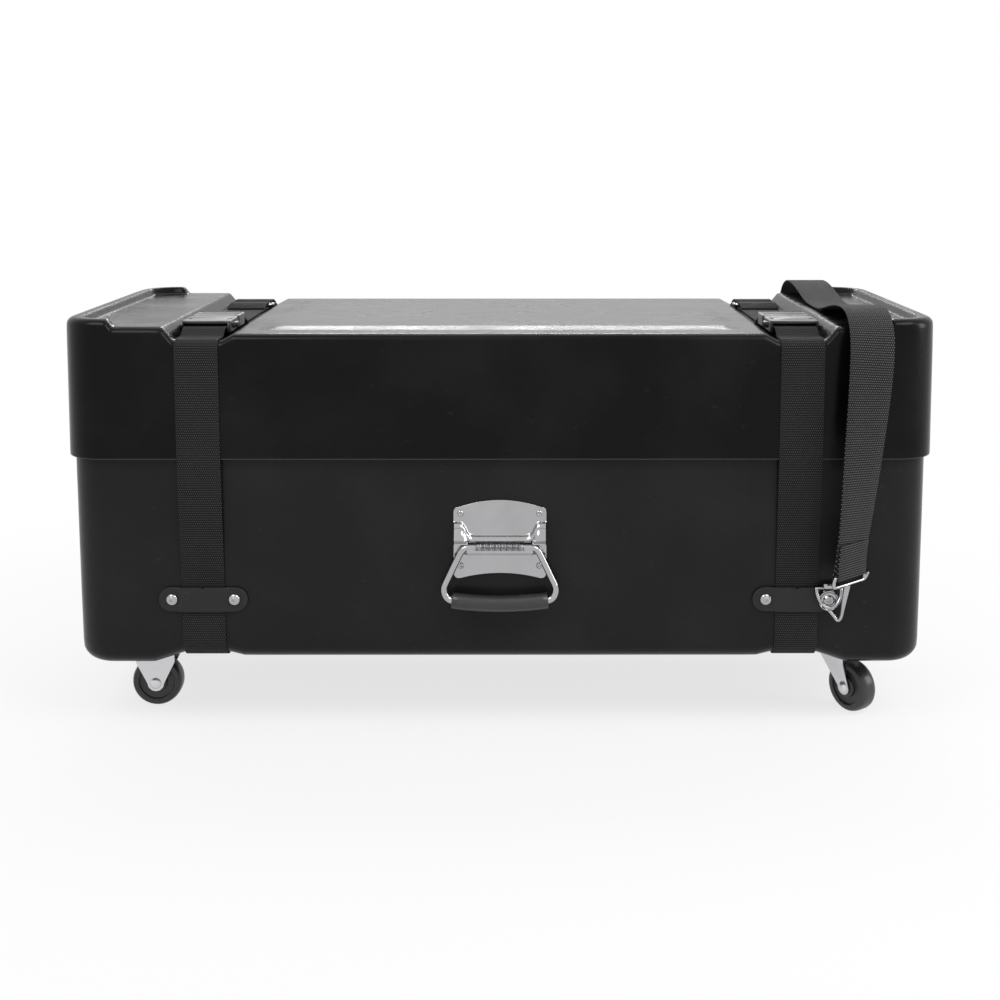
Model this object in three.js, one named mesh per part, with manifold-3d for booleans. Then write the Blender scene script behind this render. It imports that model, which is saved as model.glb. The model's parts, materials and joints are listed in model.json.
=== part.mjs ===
// Accessory case on casters: a rotomoulded tub with a telescoping lid, two webbing straps with
// side-release buckles, strap retainers, a drop handle on each long side, four casters and a tow strap.
// Millimetres, +Z up, X along the case, the front face towards -Y, the floor at Z = 0.

import * as THREE from 'three';
import { mergeVertices } from 'three/addons/utils/BufferGeometryUtils.js';
import Module from 'manifold-3d';

const wasm = await Module();
wasm.setup();

// Clearances
const seatGap = 0.3; // between pieces that touch
const turnGap = 0.4; // round what turns
const cutOverrun = 2; // how far a cut runs past the piece
const mergeDistance = 0.0001;

// Lid, outside sizes at its top edge
const lidLength = 1033;
const lidDepth = 383;
const lidDraft = 1; // each side, top to rim
const lidWall = 5;
const lidCornerRadius = 50;
const lidEdgeRadius = 10;
const lidRimHeight = 333;
const panelHeight = 481;
const fieldRaise = 2.5; // the raised field in the middle of the panel
const fieldEndSetback = 226.5; // the field's ends and sides, in from the lid's
const fieldSideSetback = 38.5;
const fieldBevel = 8;
const channelDepth = 8; // below the panel
const channelSetback = 163.5; // middle of each strap channel, in from the lid's end
const channelWidth = 56;
const channelInnerSlope = 15;
const channelOuterSlope = 13;
const padRise = 8; // the end pads above the panel
const ridgeRise = 9; // the ridges above the pads
const ridgeWidth = 18; // in from the edge, round each end
const ridgeSlope = 6;
const ridgeSetback = 61.5; // where its two arms start, in from the lid's end
const ridgeArmSlope = 7;

// Base tub, inside the lid
const lidSideGap = 0.5; // at the lid's narrow top
const baseWall = 5;
const baseEdgeRadius = 22;
const footHeight = 78; // underside of the end feet, on the casters
const middleRise = 7.7; // the middle underside above the feet
const grooveRise = 12; // the strap grooves above the feet
const grooveInnerSlope = 17;
const grooveOuterSlope = 36;
const rimChamferShare = 0.76; // of the wall, so that the rim clears the lid's inner edge

// Body straps
const webWidth = 50.8;
const webThickness = 1.8;
const foldLength = 34; // sewn end folded back over itself
const bendRadius = 12;
const bendLead = 6; // straight webbing where it enters a buckle
const strapSplitHeight = 182.2; // where the run under the case meets the runs over the lid

// Strap retainers and their rivets
const retainerLength = 106;
const retainerHeight = 30;
const retainerThickness = 3;
const retainerCentreHeight = 162.5;
const retainerRivetSpacing = 74;
const retainerRamp = 4;
const rivetHeadRadius = 7;
const rivetHeadHeight = 3;
const rivetRadius = 3;
const rivetBackRadius = 6;
const rivetBackHeight = 1.6;

// Side-release buckles
const buckleWidth = 58;
const buckleHeight = 15;
const buckleSocketLength = 52;
const bucklePlugLength = 43;
const buckleSetback = 50; // front of the socket, behind the lid's front
const buckleCorner = 8;
const buckleBevel = 1.5;
const bucklePocketDepth = 11; // takes the strap's end
const buckleCavityWidth = 54;
const buckleCavityHeight = 8.4;
const buckleCavityDepth = 38;
const buckleHoleRadius = 2.5;
const buckleHoleDepth = 3;
const buckleWindowLength = 24;
const buckleWindowSetback = 12; // from the socket's mouth
const tongueWidth = 13;
const tongueLength = 32;
const buttonRoot = 19; // hinge of each button arm, from the middle
const buttonArmWidth = 5;
const buttonHeight = 7;
const buttonNeck = 1.6; // thin root that flexes
const buttonNeckLength = 4;
const buttonEndGap = 2;
const buttonProud = 4;
const ladderBar = 5;
const ladderSlot = 6;

// Steel loops at the back of each strap's top run
const loopWire = 5;
const loopPitch = 17; // between its two long bars
const loopSetback = 55; // their middle, in front of the lid's back face

// Handles
const handleHeight = 227.5; // the bail's hinge line
const handleAxisOut = 8.4; // hinge line in front of the base's face
const handlePlateWidth = 110;
const handlePlateRise = 47.5; // its upper corners above the hinge line
const handlePlateDrop = 43; // its lower corners below it
const handlePlateCrown = 6;
const handlePlateThickness = 2;
const handlePlateCorner = 7;
const handleEarRise = 29.5; // top of the ears above the hinge line
const handleEarWidth = 17; // in from each end of the plate
const handleEarOut = 3.6; // pressed out of the plate
const handleHoodRise = 3; // the hood's edge above the ridge
const handleRivetHalfWidth = 46;
const handleRivetRise = 38.5;
const handleRivetDrop = 26;
const handleRivetHeadRadius = 3.6;
const handleRivetHeadHeight = 1.4;
const handleBarrelRadius = 7.6;
const handleBarrelLength = 76;
const handleRidgeHeight = 13;
const handleRidgeOut = 5;
const bailWire = 7;
const bailInset = 16; // wire inside each end of the barrel
const bailShoulder = 44;
const bailWidest = 66;
const bailWidestDrop = 42;
const bailFoot = 57;
const gripDrop = 57;
const gripLength = 110;
const gripRadius = 10.5;
const gripOut = 12.2; // grip's middle in front of the base's face
const gripEndRound = 2.5;

// Casters
const wheelRadius = 31;
const wheelWidth = 24;
const wheelShoulder = 7;
const wheelRimDepth = 9;
const wheelDish = 4;
const hubRadius = 13;
const axleRadius = 4;
const axleHeadRadius = 7;
const axleHeadHeight = 2.4;
const forkSideGap = 1.5;
const forkThickness = 2;
const forkFootRadius = 9;
const forkTopLength = 42;
const casterPlateLength = 60;
const casterPlateWidth = 52;
const casterPlateThickness = 2.5;
const casterPlateCorner = 6;
const rigidCasterSetback = 84.5; // in from the lid's end
const swivelCasterSetback = 92.5;
const casterSideSetback = 85.5; // in from the lid's side
const swivelTrail = 25;
const swivelAngle = -58; // degrees that the fork trails off the X axis
const raceRadius = 17;
const raceDrop = 6;
const swivelForkTopDrop = 9.5;
const kingpinRadius = 5;
const kingpinHeadRadius = 9;
const kingpinHeadHeight = 3;
const swivelForkTopLength = 40;

// Tow strap with its hooks and rings
const clipThickness = 1.2;
const clipWidth = 13;
const clipDrop = 5;
const ringWire = 4;
const ringWidth = 31;
const ringDrop = 21;
const ringAxisRise = 17.5; // of the ring's straight bar above its rivet
const ringLean = 9; // the hanging side stands out by this much
const eyeWire = 4;
const eyeBarHeight = 188;
const eyeRise = 11;
const eyeOut = 22; // eye's middle in front of the base's face
const eyeOffset = 20; // eye's middle beyond the ring's rivet
const eyeYaw = 38; // degrees that the webbing has twisted by the eye
const hookWire = 4;
const towThickness = 1.8;
const towSlant = 19; // the strap over the lid stands this much further out along X than the eyes of its hooks
const towRise = 19.5; // its crest above the end pads
const towSwell = 26.5; // furthest that its hanging run stands out from the lid's face
const hookSpan = 16; // from the outer rivet across to the eye
const hookOut = 25.1; // its end at the eye, in front of the base's face
const hookRise = 25.5; // and above the rivet
// Tow strap over the lid, from the middle to the front: shares of the lid's half depth and of its rise
const towCrestShares = [
  [0, 0.133],
  [0.182, 0.185],
  [0.364, 0.462],
  [0.545, 0.795],
  [0.727, 1],
  [0.894, 0.949],
];
// Its hanging run: shares of the slant, the swell, the height from its end up to the pad, and the eye's yaw
const towFallShares = [
  [0.974, 0.132, 1.033, 0],
  [0.947, 0.66, 0.976, 0.026],
  [0.895, 0.925, 0.892, 0.079],
  [0.816, 1, 0.795, 0.158],
  [0.737, 0.962, 0.683, 0.289],
  [0.632, 0.868, 0.558, 0.421],
  [0.526, 0.755, 0.426, 0.579],
  [0.395, 0.66, 0.294, 0.737],
  [0.237, 0.604, 0.168, 0.868],
  [0.053, 0.585, 0.071, 0.947],
  [0.053, 0.585, 0, 1],
];
// The V-shaped hook's middle line from its outer rivet: shares of its span, out and rise
const hookShares = [
  [1, 1, 1],
  [0.688, 0.857, 0.216],
  [0.406, 0.709, -0.51],
  [0.188, 0.518, -0.843],
  [-0.094, 0.418, -0.706],
  [-0.538, 0.335, -0.196],
  [-0.612, 0.319, 0.157],
];

const black = new THREE.MeshStandardMaterial({ color: 0x1b1b1d, roughness: 0.55, metalness: 0 });
const webbing = new THREE.MeshStandardMaterial({ color: 0x2b2b2e, roughness: 0.9, metalness: 0 });
const acetal = new THREE.MeshStandardMaterial({ color: 0x202022, roughness: 0.4, metalness: 0 });
const vinyl = new THREE.MeshStandardMaterial({ color: 0x19191b, roughness: 0.6, metalness: 0 });
const chrome = new THREE.MeshStandardMaterial({ color: 0xd8d8dc, roughness: 0.15, metalness: 1 });
const zinc = new THREE.MeshStandardMaterial({ color: 0xc4c6ca, roughness: 0.3, metalness: 1 });
const rubber = new THREE.MeshStandardMaterial({ color: 0x222224, roughness: 0.7, metalness: 0 });

const part = new THREE.Group();

function addNode(name, geometry, material, parent = part) {
  const node = new THREE.Mesh(geometry, material);
  node.name = name;
  parent.add(node);
  return node;
}

// Solids for cutting and joining

function toManifold(geometry) {
  const bare = geometry.clone();
  bare.deleteAttribute('normal');
  bare.deleteAttribute('uv');
  const merged = mergeVertices(bare, mergeDistance);
  const triangles = [];
  for (let i = 0; i < merged.index.count; i += 3) {
    const [a, b, c] = merged.index.array.slice(i, i + 3);
    if (a !== b && b !== c && a !== c) triangles.push(a, b, c);
  }
  const vertProperties = new Float32Array(merged.attributes.position.array);
  return new wasm.Manifold(new wasm.Mesh({ numProp: 3, vertProperties, triVerts: new Uint32Array(triangles) }));
}

function toGeometry(solid) {
  const mesh = solid.getMesh();
  const geometry = new THREE.BufferGeometry();
  geometry.setAttribute('position', new THREE.BufferAttribute(new Float32Array(mesh.vertProperties), 3));
  geometry.setIndex(new THREE.BufferAttribute(new Uint32Array(mesh.triVerts), 1));
  return geometry;
}

function joined(geometries) {
  return toGeometry(geometries.map(toManifold).reduce((all, next) => all.add(next)));
}

function cut(geometry, tools) {
  return toGeometry(tools.map(toManifold).reduce((left, tool) => left.subtract(tool), toManifold(geometry)));
}

function common(geometry, tool) {
  return toGeometry(toManifold(geometry).intersect(toManifold(tool)));
}

// Simple shapes

function box(width, depth, height, x, y, z) {
  return new THREE.BoxGeometry(width, depth, height).translate(x, y, z);
}

// Cylinder with its axis along 'x', 'y' or 'z'
function rod(axis, radius, length, x, y, z, sides = 16) {
  const geometry = new THREE.CylinderGeometry(radius, radius, length, sides);
  if (axis === 'x') geometry.rotateZ(Math.PI / 2);
  if (axis === 'z') geometry.rotateX(Math.PI / 2);
  return geometry.translate(x, y, z);
}

function roundedRectangle(width, height, radius) {
  const x = width / 2 - radius;
  const y = height / 2 - radius;
  const shape = new THREE.Shape();
  shape.absarc(x, y, radius, 0, Math.PI / 2);
  shape.absarc(-x, y, radius, Math.PI / 2, Math.PI);
  shape.absarc(-x, -y, radius, Math.PI, 1.5 * Math.PI);
  shape.absarc(x, -y, radius, 1.5 * Math.PI, 2 * Math.PI);
  return shape;
}

function extruded(shape, depth, curveSegments = 4) {
  return new THREE.ExtrudeGeometry(shape, { depth, bevelEnabled: false, curveSegments });
}

// A shape drawn in (Y, Z), extruded along X about the middle x
function acrossX(shape, width, x) {
  const geometry = extruded(shape, width).translate(0, 0, -width / 2);
  const turn = new THREE.Matrix4().makeBasis(
    new THREE.Vector3(0, 1, 0), new THREE.Vector3(0, 0, 1), new THREE.Vector3(1, 0, 0));
  return geometry.applyMatrix4(turn).translate(x, 0, 0);
}

// A shape drawn in (X, Z), extruded along Y from y towards -Y
function towardsFront(shape, depth, y, curveSegments = 4) {
  return extruded(shape, depth, curveSegments).rotateX(Math.PI / 2).translate(0, y, 0);
}

function turnedProfile(points, sides) {
  return new THREE.LatheGeometry(points.map(([r, h]) => new THREE.Vector2(r, h)), sides);
}

function wire(points, diameter, steps, sides = 8) {
  const section = new THREE.Shape();
  section.absarc(0, 0, diameter / 2, 0, 2 * Math.PI);
  const path = new THREE.CatmullRomCurve3(points, false, 'centripetal');
  return new THREE.ExtrudeGeometry(section, { extrudePath: path, steps, curveSegments: sides / 2, bevelEnabled: false });
}

// Moulded shells: rings that follow the rounded outline, closed by a grid across the middle

function ramp(value, from, to) {
  return Math.min(Math.max((value - from) / (to - from), 0), 1);
}

function edgeDrop(inset, radius) {
  const short = Math.min(Math.max(radius - inset, 0), radius);
  return radius - Math.sqrt(radius * radius - short * short);
}

const cornerSteps = 5;

// Points of the rounded outline, inset by a distance, anticlockwise from the front left
function outlineRing(outline, inset) {
  const { halfLength, halfDepth, radius, stations } = outline;
  const centreX = halfLength - radius;
  const centreY = halfDepth - radius;
  const points = [];
  const arc = (x, y, startQuarter) => {
    for (let i = 0; i <= cornerSteps; i++) {
      const angle = (startQuarter + i / cornerSteps) * Math.PI / 2;
      points.push([x + (radius - inset) * Math.cos(angle), y + (radius - inset) * Math.sin(angle)]);
    }
  };
  for (const x of stations) points.push([x, inset - halfDepth]);
  arc(centreX, -centreY, -1);
  arc(centreX, centreY, 0);
  for (const x of [...stations].reverse()) points.push([x, halfDepth - inset]);
  arc(-centreX, centreY, 1);
  arc(-centreX, -centreY, 2);
  return points;
}

// One skin of a shell as rows of points, outermost first, with the height of each from a function
function skinRings(outline, insets, height) {
  return insets.map((inset) => outlineRing(outline, inset).map(([x, y]) => [x, y, height(x, y, inset)]));
}

function shellGeometry(outline, outerRings, innerRings, rows, outerHeight, innerHeight, cornerUp) {
  const points = [];
  const triangles = [];
  const addPoint = (point) => points.push(point) - 1;
  const addRing = (ring) => ring.map(addPoint);
  const quad = (a, b, c, d, flip) => {
    if (flip) triangles.push(a, c, b, a, d, c);
    else triangles.push(a, b, c, a, c, d);
  };
  const band = (low, high, flip) => {
    low.forEach((_, i) => {
      const next = (i + 1) % low.length;
      quad(low[i], low[next], high[next], high[i], flip);
    });
  };
  // Fills inside the last ring: a grid between the straight sides and a flat piece at each end
  const fill = (ring, height, flip) => {
    const count = outline.stations.length;
    const arcStart = count; // front right arc
    const backStart = count + 2 * (cornerSteps + 1);
    const leftStart = backStart + count;
    const front = [ring[ring.length - 1], ...ring.slice(0, arcStart + 1)];
    const back = [ring[leftStart], ...ring.slice(backStart, leftStart).reverse(), ring[backStart - 1]];
    const columns = front.map((bottom, i) => {
      const x = points[bottom][0];
      const between = rows.map((y) => addPoint([x, y, height(x, y, outline.halfDepth)]));
      return [bottom, ...between, back[i]];
    });
    for (let i = 0; i + 1 < columns.length; i++) {
      for (let j = 0; j + 1 < columns[i].length; j++) {
        quad(columns[i][j], columns[i + 1][j], columns[i + 1][j + 1], columns[i][j + 1], flip);
      }
    }
    const cap = (loop) => {
      const flat = loop.map((index) => new THREE.Vector2(points[index][0], points[index][1]));
      for (const [a, b, c] of THREE.ShapeUtils.triangulateShape(flat, [])) {
        if (flip) triangles.push(loop[a], loop[c], loop[b]);
        else triangles.push(loop[a], loop[b], loop[c]);
      }
    };
    cap([...ring.slice(arcStart, backStart), ...columns.at(-1).slice(1, -1).reverse()]);
    cap([...ring.slice(leftStart), ...columns[0].slice(1, -1)]);
  };
  const outer = outerRings.map(addRing);
  const inner = innerRings.map(addRing);
  for (let i = 0; i + 1 < outer.length; i++) band(outer[i], outer[i + 1], !cornerUp);
  for (let i = 0; i + 1 < inner.length; i++) band(inner[i], inner[i + 1], cornerUp);
  band(inner[0], outer[0], !cornerUp);
  fill(outer.at(-1), outerHeight, !cornerUp);
  fill(inner.at(-1), innerHeight, cornerUp);
  const geometry = new THREE.BufferGeometry();
  geometry.setAttribute('position', new THREE.Float32BufferAttribute(points.flat(), 3));
  geometry.setIndex(triangles);
  return geometry;
}

function bothSides(values) {
  return [...values.map((v) => -v), ...values].sort((a, b) => a - b);
}

const roundShares = [0, 0.13, 0.5, 1]; // of an edge's radius, where its rings lie

// Lid

const lidOuter = {
  halfLength: lidLength / 2,
  halfDepth: lidDepth / 2,
  radius: lidCornerRadius,
};
const fieldLength = lidLength - 2 * fieldEndSetback;
const fieldDepth = lidDepth - 2 * fieldSideSetback;
const channelCentre = lidLength / 2 - channelSetback;
const channelHeight = panelHeight - channelDepth;
const ringRivetX = channelCentre + retainerRivetSpacing / 2;
const padHeight = panelHeight + padRise;
const channelInner = channelCentre - channelWidth / 2;
const channelOuter = channelCentre + channelWidth / 2;
const ridgeArmStart = lidLength / 2 - ridgeSetback - ridgeArmSlope / 2;
const lidInnerEdgeRadius = lidEdgeRadius - lidWall;
lidOuter.stations = bothSides([
  fieldLength / 2 - fieldBevel,
  fieldLength / 2,
  channelInner - channelInnerSlope,
  channelInner,
  channelOuter,
  channelOuter + channelOuterSlope,
  ridgeArmStart,
  ridgeArmStart + ridgeArmSlope,
]);

function lidSurface(x, y, inset) {
  const across = Math.abs(x);
  const field = Math.min(
    ramp(fieldLength / 2 - across, 0, fieldBevel), ramp(fieldDepth / 2 - Math.abs(y), 0, fieldBevel));
  const panel = panelHeight + fieldRaise * field;
  const intoChannel = ramp(across, channelInner - channelInnerSlope, channelInner);
  const outOfChannel = ramp(across, channelOuter, channelOuter + channelOuterSlope);
  const alongRidge = ramp(across, ridgeArmStart, ridgeArmStart + ridgeArmSlope);
  const ridge = alongRidge * ramp(ridgeWidth + ridgeSlope - inset, 0, ridgeSlope);
  const level = panel + (channelHeight - panel) * intoChannel + (padHeight - channelHeight) * outOfChannel;
  return level + ridgeRise * ridge;
}

function lidTop(x, y, inset) {
  return lidSurface(x, y, inset) - edgeDrop(inset, lidEdgeRadius);
}

function lidUnderside(x, y, inset) {
  return lidSurface(x, y, inset) - lidWall - edgeDrop(inset - lidWall, lidInnerEdgeRadius);
}

function makeLid() {
  const fieldRows = bothSides([fieldDepth / 2 - fieldBevel, fieldDepth / 2]);
  const ridgeInsets = [ridgeWidth, ridgeWidth + ridgeSlope];
  const outerInsets = [...roundShares.map((share) => share * lidEdgeRadius), ...ridgeInsets];
  const innerInsets = [...roundShares.map((share) => lidWall + share * lidInnerEdgeRadius), ...ridgeInsets];
  const outerRings = [
    ...skinRings(lidOuter, [-lidDraft], () => lidRimHeight),
    ...skinRings(lidOuter, outerInsets, lidTop),
  ];
  const innerRings = [
    ...skinRings(lidOuter, [lidWall - lidDraft], () => lidRimHeight),
    ...skinRings(lidOuter, innerInsets, lidUnderside),
  ];
  addNode('lid_shell', shellGeometry(lidOuter, outerRings, innerRings, fieldRows, lidTop, lidUnderside, true), black);
}

// Base tub

const baseSetback = lidWall + lidSideGap;
const baseOuter = {
  halfLength: lidOuter.halfLength - baseSetback,
  halfDepth: lidOuter.halfDepth - baseSetback,
  radius: lidCornerRadius - baseSetback,
};
const baseFace = baseOuter.halfDepth;
baseOuter.stations = bothSides([
  channelInner - grooveInnerSlope,
  channelInner,
  channelOuter,
  channelOuter + grooveOuterSlope,
]);
const baseRimHeight = channelHeight - lidWall - seatGap;
const baseInnerEdgeRadius = baseEdgeRadius - baseWall;

function baseSurface(x) {
  const across = Math.abs(x);
  const intoGroove = ramp(across, channelInner - grooveInnerSlope, channelInner);
  const ontoFoot = ramp(across, channelOuter, channelOuter + grooveOuterSlope);
  return footHeight + middleRise + (grooveRise - middleRise) * intoGroove - grooveRise * ontoFoot;
}

function baseUnderside(x, y, inset) {
  return baseSurface(x) + edgeDrop(inset, baseEdgeRadius);
}

function baseFloor(x, y, inset) {
  return baseSurface(x) + baseWall + edgeDrop(inset - baseWall, baseInnerEdgeRadius);
}

// Rivet places on the long sides: X and Z
const retainerRivets = [];
for (const side of [-1, 1]) {
  for (const end of [-1, 1]) {
    retainerRivets.push([side * channelCentre + end * retainerRivetSpacing / 2, retainerCentreHeight]);
  }
}
const handleRivets = [];
for (const x of [-handleRivetHalfWidth, handleRivetHalfWidth]) {
  for (const z of [handleHeight - handleRivetDrop, handleHeight + handleRivetRise]) handleRivets.push([x, z]);
}

function makeBase() {
  const rimRounding = [
    ...skinRings(baseOuter, [rimChamferShare * baseWall], () => baseRimHeight),
    ...skinRings(baseOuter, [0], () => baseRimHeight - lidInnerEdgeRadius),
  ];
  const outerRings = [
    ...rimRounding,
    ...skinRings(baseOuter, roundShares.map((share) => share * baseEdgeRadius), baseUnderside),
  ];
  const innerInsets = roundShares.map((share) => baseWall + share * baseInnerEdgeRadius);
  const innerRings = [
    ...skinRings(baseOuter, [baseWall], () => baseRimHeight),
    ...skinRings(baseOuter, innerInsets, baseFloor),
  ];
  const tub = shellGeometry(baseOuter, outerRings, innerRings, [0], baseUnderside, baseFloor, false);
  const holeLength = 2 * (baseFace + cutOverrun);
  const holes = [...retainerRivets, ...handleRivets].map(
    ([x, z]) => rod('y', rivetRadius + seatGap, holeLength, x, 0, z, 8));
  addNode('base_shell', cut(tub, holes), black);
}

// Webbing

// Rounds the corners of an open line of [y, z] points
function roundedLine(points, radii, steps = 3) {
  const line = [points[0]];
  for (let i = 1; i + 1 < points.length; i++) {
    const corner = new THREE.Vector2(...points[i]);
    const before = new THREE.Vector2(...points[i - 1]).sub(corner);
    const after = new THREE.Vector2(...points[i + 1]).sub(corner);
    const half = Math.acos(before.dot(after) / (before.length() * after.length())) / 2;
    const reach = Math.min(radii[i - 1] / Math.tan(half), before.length() / 2, after.length() / 2);
    const start = corner.clone().add(before.setLength(reach));
    const end = corner.clone().add(after.setLength(reach));
    const curve = new THREE.QuadraticBezierCurve(start, corner, end);
    const centre = arcCentre(start, corner, end, half, reach);
    for (let k = 0; k <= steps; k++) {
      const loose = curve.getPoint(k / steps);
      const point = loose.sub(centre).setLength(reach * Math.tan(half)).add(centre);
      const last = new THREE.Vector2(...line.at(-1));
      if (point.distanceTo(last) > mergeDistance) line.push([point.x, point.y]);
    }
  }
  line.push(points.at(-1));
  return line;
}

// Centre of the arc that touches both arms of a corner
function arcCentre(start, corner, end, half, reach) {
  const middle = start.clone().add(end).multiplyScalar(0.5);
  return middle.sub(corner).setLength(reach / Math.cos(half)).add(corner);
}

// The outline of a band of even thickness along a line of [y, z] points
function bandShape(line, thickness) {
  const left = [];
  const right = [];
  line.forEach(([y, z], i) => {
    const here = new THREE.Vector2(y, z);
    const back = i > 0 ? here.clone().sub(new THREE.Vector2(...line[i - 1])).normalize() : null;
    const ahead = i + 1 < line.length ? new THREE.Vector2(...line[i + 1]).sub(here).normalize() : null;
    const along = (back ?? ahead).clone().add(ahead ?? back).normalize();
    const normal = new THREE.Vector2(-along.y, along.x);
    const stretch = 1 / normal.dot(new THREE.Vector2(-(ahead ?? back).y, (ahead ?? back).x));
    normal.multiplyScalar(stretch * thickness / 2);
    left.push(here.clone().add(normal));
    right.push(here.clone().sub(normal));
  });
  return new THREE.Shape([...left, ...right.reverse()]);
}

const webLift = seatGap + webThickness / 2; // middle of the webbing above what it lies on
const lidFaceTop = lidDepth / 2;
const lidFaceRim = lidDepth / 2 + lidDraft;
const buckleBottom = channelHeight + seatGap + webThickness + seatGap;
const strapPocketHeight = buckleBottom + buckleHeight / 2;
const buckleFront = buckleSetback - lidFaceRim;
const buckleMouth = buckleFront + buckleSocketLength; // where the two halves meet
const buckleBack = buckleMouth + seatGap + bucklePlugLength;
const loopCentreY = lidFaceRim - loopSetback;
const loopHeight = channelHeight + seatGap + webThickness + seatGap + loopWire / 2;
const wrapRadius = loopWire / 2 + webLift;
const floorLine = channelHeight + webLift;

function addStrap(name, points, radii, x) {
  addNode(name, acrossX(bandShape(roundedLine(points, radii), webThickness), webWidth, x), webbing);
}

// From above the retainer up over the lid's edge; side is -1 at the front and 1 at the back
function strapRise(side) {
  return [
    [side * (baseFace + webLift), strapSplitHeight + seatGap],
    [side * (lidFaceRim + webLift), lidRimHeight],
    [side * (lidFaceTop + webLift), floorLine],
  ];
}

// The sewn fold round a loop bar, seen from a strap that arrives along the channel floor
function strapFold(barY, towards) {
  return [
    [barY - towards * wrapRadius, floorLine],
    [barY - towards * wrapRadius, loopHeight + wrapRadius],
    [barY + towards * foldLength / 2, loopHeight + wrapRadius],
    [barY + towards * foldLength, floorLine + webThickness + seatGap],
  ];
}

function makeStraps() {
  const pocketEnd = bucklePocketDepth - seatGap;
  const edgeBend = lidEdgeRadius + webLift;
  for (const [side, x] of [['left', -channelCentre], ['right', channelCentre]]) {
    addStrap(`${side}_strap_front`, [
      ...strapRise(-1),
      [buckleFront - bendLead - bendRadius, floorLine],
      [buckleFront - bendLead, strapPocketHeight],
      [buckleFront + pocketEnd, strapPocketHeight],
    ], [bendRadius, edgeBend, bendRadius, bendRadius], x);
    addStrap(`${side}_strap_back`, [
      ...strapRise(1),
      ...strapFold(loopCentreY + loopPitch / 2, 1),
    ], [bendRadius, edgeBend, wrapRadius, wrapRadius, bendRadius], x);
    addStrap(`${side}_strap_top`, [
      [buckleBack - pocketEnd, strapPocketHeight],
      [buckleBack + bendLead, strapPocketHeight],
      [buckleBack + bendLead + 2 * bendRadius, floorLine],
      ...strapFold(loopCentreY - loopPitch / 2, -1),
    ], [bendRadius, bendRadius, wrapRadius, wrapRadius, bendRadius], x);
    const face = baseFace + webLift;
    const groove = footHeight + grooveRise - webLift;
    const underBend = baseEdgeRadius + webLift;
    addStrap(`${side}_strap_under`, [
      [-face, strapSplitHeight],
      [-face, groove],
      [face, groove],
      [face, strapSplitHeight],
    ], [underBend, underBend], x);
  }
}

// Steel loops

// Closed rectangular ring of round wire, lying in the XY plane
function wireRectangle(innerWidth, pitch, diameter) {
  const halfWidth = (innerWidth + diameter) / 2;
  const points = [];
  const corner = diameter / 2;
  for (const [sx, sy, start] of [[1, 1, 0], [-1, 1, 1], [-1, -1, 2], [1, -1, 3]]) {
    for (const share of [0, 0.5, 1]) {
      const angle = (start + share) * Math.PI / 2;
      points.push(new THREE.Vector3(
        sx * (halfWidth - corner) + corner * Math.cos(angle),
        sy * (pitch / 2 - corner) + corner * Math.sin(angle), 0));
    }
  }
  return sweptRing(points, diameter, 6);
}

// Round wire along a closed line of points in one plane, with mitred sections
function sweptRing(points, diameter, sides) {
  const positions = [];
  const triangles = [];
  const count = points.length;
  const up = new THREE.Vector3(0, 0, 1);
  points.forEach((point, i) => {
    const back = point.clone().sub(points[(i + count - 1) % count]).normalize();
    const ahead = points[(i + 1) % count].clone().sub(point).normalize();
    const out = back.clone().add(ahead).normalize().cross(up);
    const stretch = 1 / out.dot(ahead.clone().cross(up));
    for (let k = 0; k < sides; k++) {
      const angle = (k / sides) * 2 * Math.PI;
      positions.push(...point.clone()
        .addScaledVector(out, stretch * Math.cos(angle) * diameter / 2)
        .addScaledVector(up, Math.sin(angle) * diameter / 2).toArray());
    }
  });
  for (let i = 0; i < count; i++) {
    for (let k = 0; k < sides; k++) {
      const a = i * sides + k;
      const b = i * sides + (k + 1) % sides;
      const c = ((i + 1) % count) * sides + (k + 1) % sides;
      const d = ((i + 1) % count) * sides + k;
      triangles.push(a, c, b, a, d, c);
    }
  }
  const geometry = new THREE.BufferGeometry();
  geometry.setAttribute('position', new THREE.Float32BufferAttribute(positions, 3));
  geometry.setIndex(triangles);
  return geometry;
}

function makeLoops() {
  for (const [side, x] of [['left', -channelCentre], ['right', channelCentre]]) {
    const ring = wireRectangle(webWidth + 2 * seatGap, loopPitch, loopWire);
    addNode(`${side}_strap_loop`, ring.translate(x, loopCentreY, loopHeight), chrome);
  }
}

// Buckles, drawn about X = 0 with their bottom at Z = 0 and their front at Y = 0

const buckleMiddle = buckleHeight / 2;
const plugCavityHeight = buckleCavityHeight - 2 * seatGap;

function buckleBlock(length, height) {
  const outline = roundedRectangle(buckleWidth - 2 * buckleBevel, length - 2 * buckleBevel, buckleCorner - buckleBevel);
  return new THREE.ExtrudeGeometry(outline, {
    depth: height - 2 * buckleBevel,
    bevelSize: buckleBevel,
    bevelThickness: buckleBevel,
    bevelSegments: 1,
    curveSegments: 3,
  }).translate(0, length / 2, buckleBevel);
}

function strapPocket(y, direction) {
  const depth = bucklePocketDepth + cutOverrun;
  return box(webWidth + 2 * seatGap, depth, webThickness + 2 * seatGap,
    0, y + direction * (bucklePocketDepth - cutOverrun) / 2, buckleMiddle);
}

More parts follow.
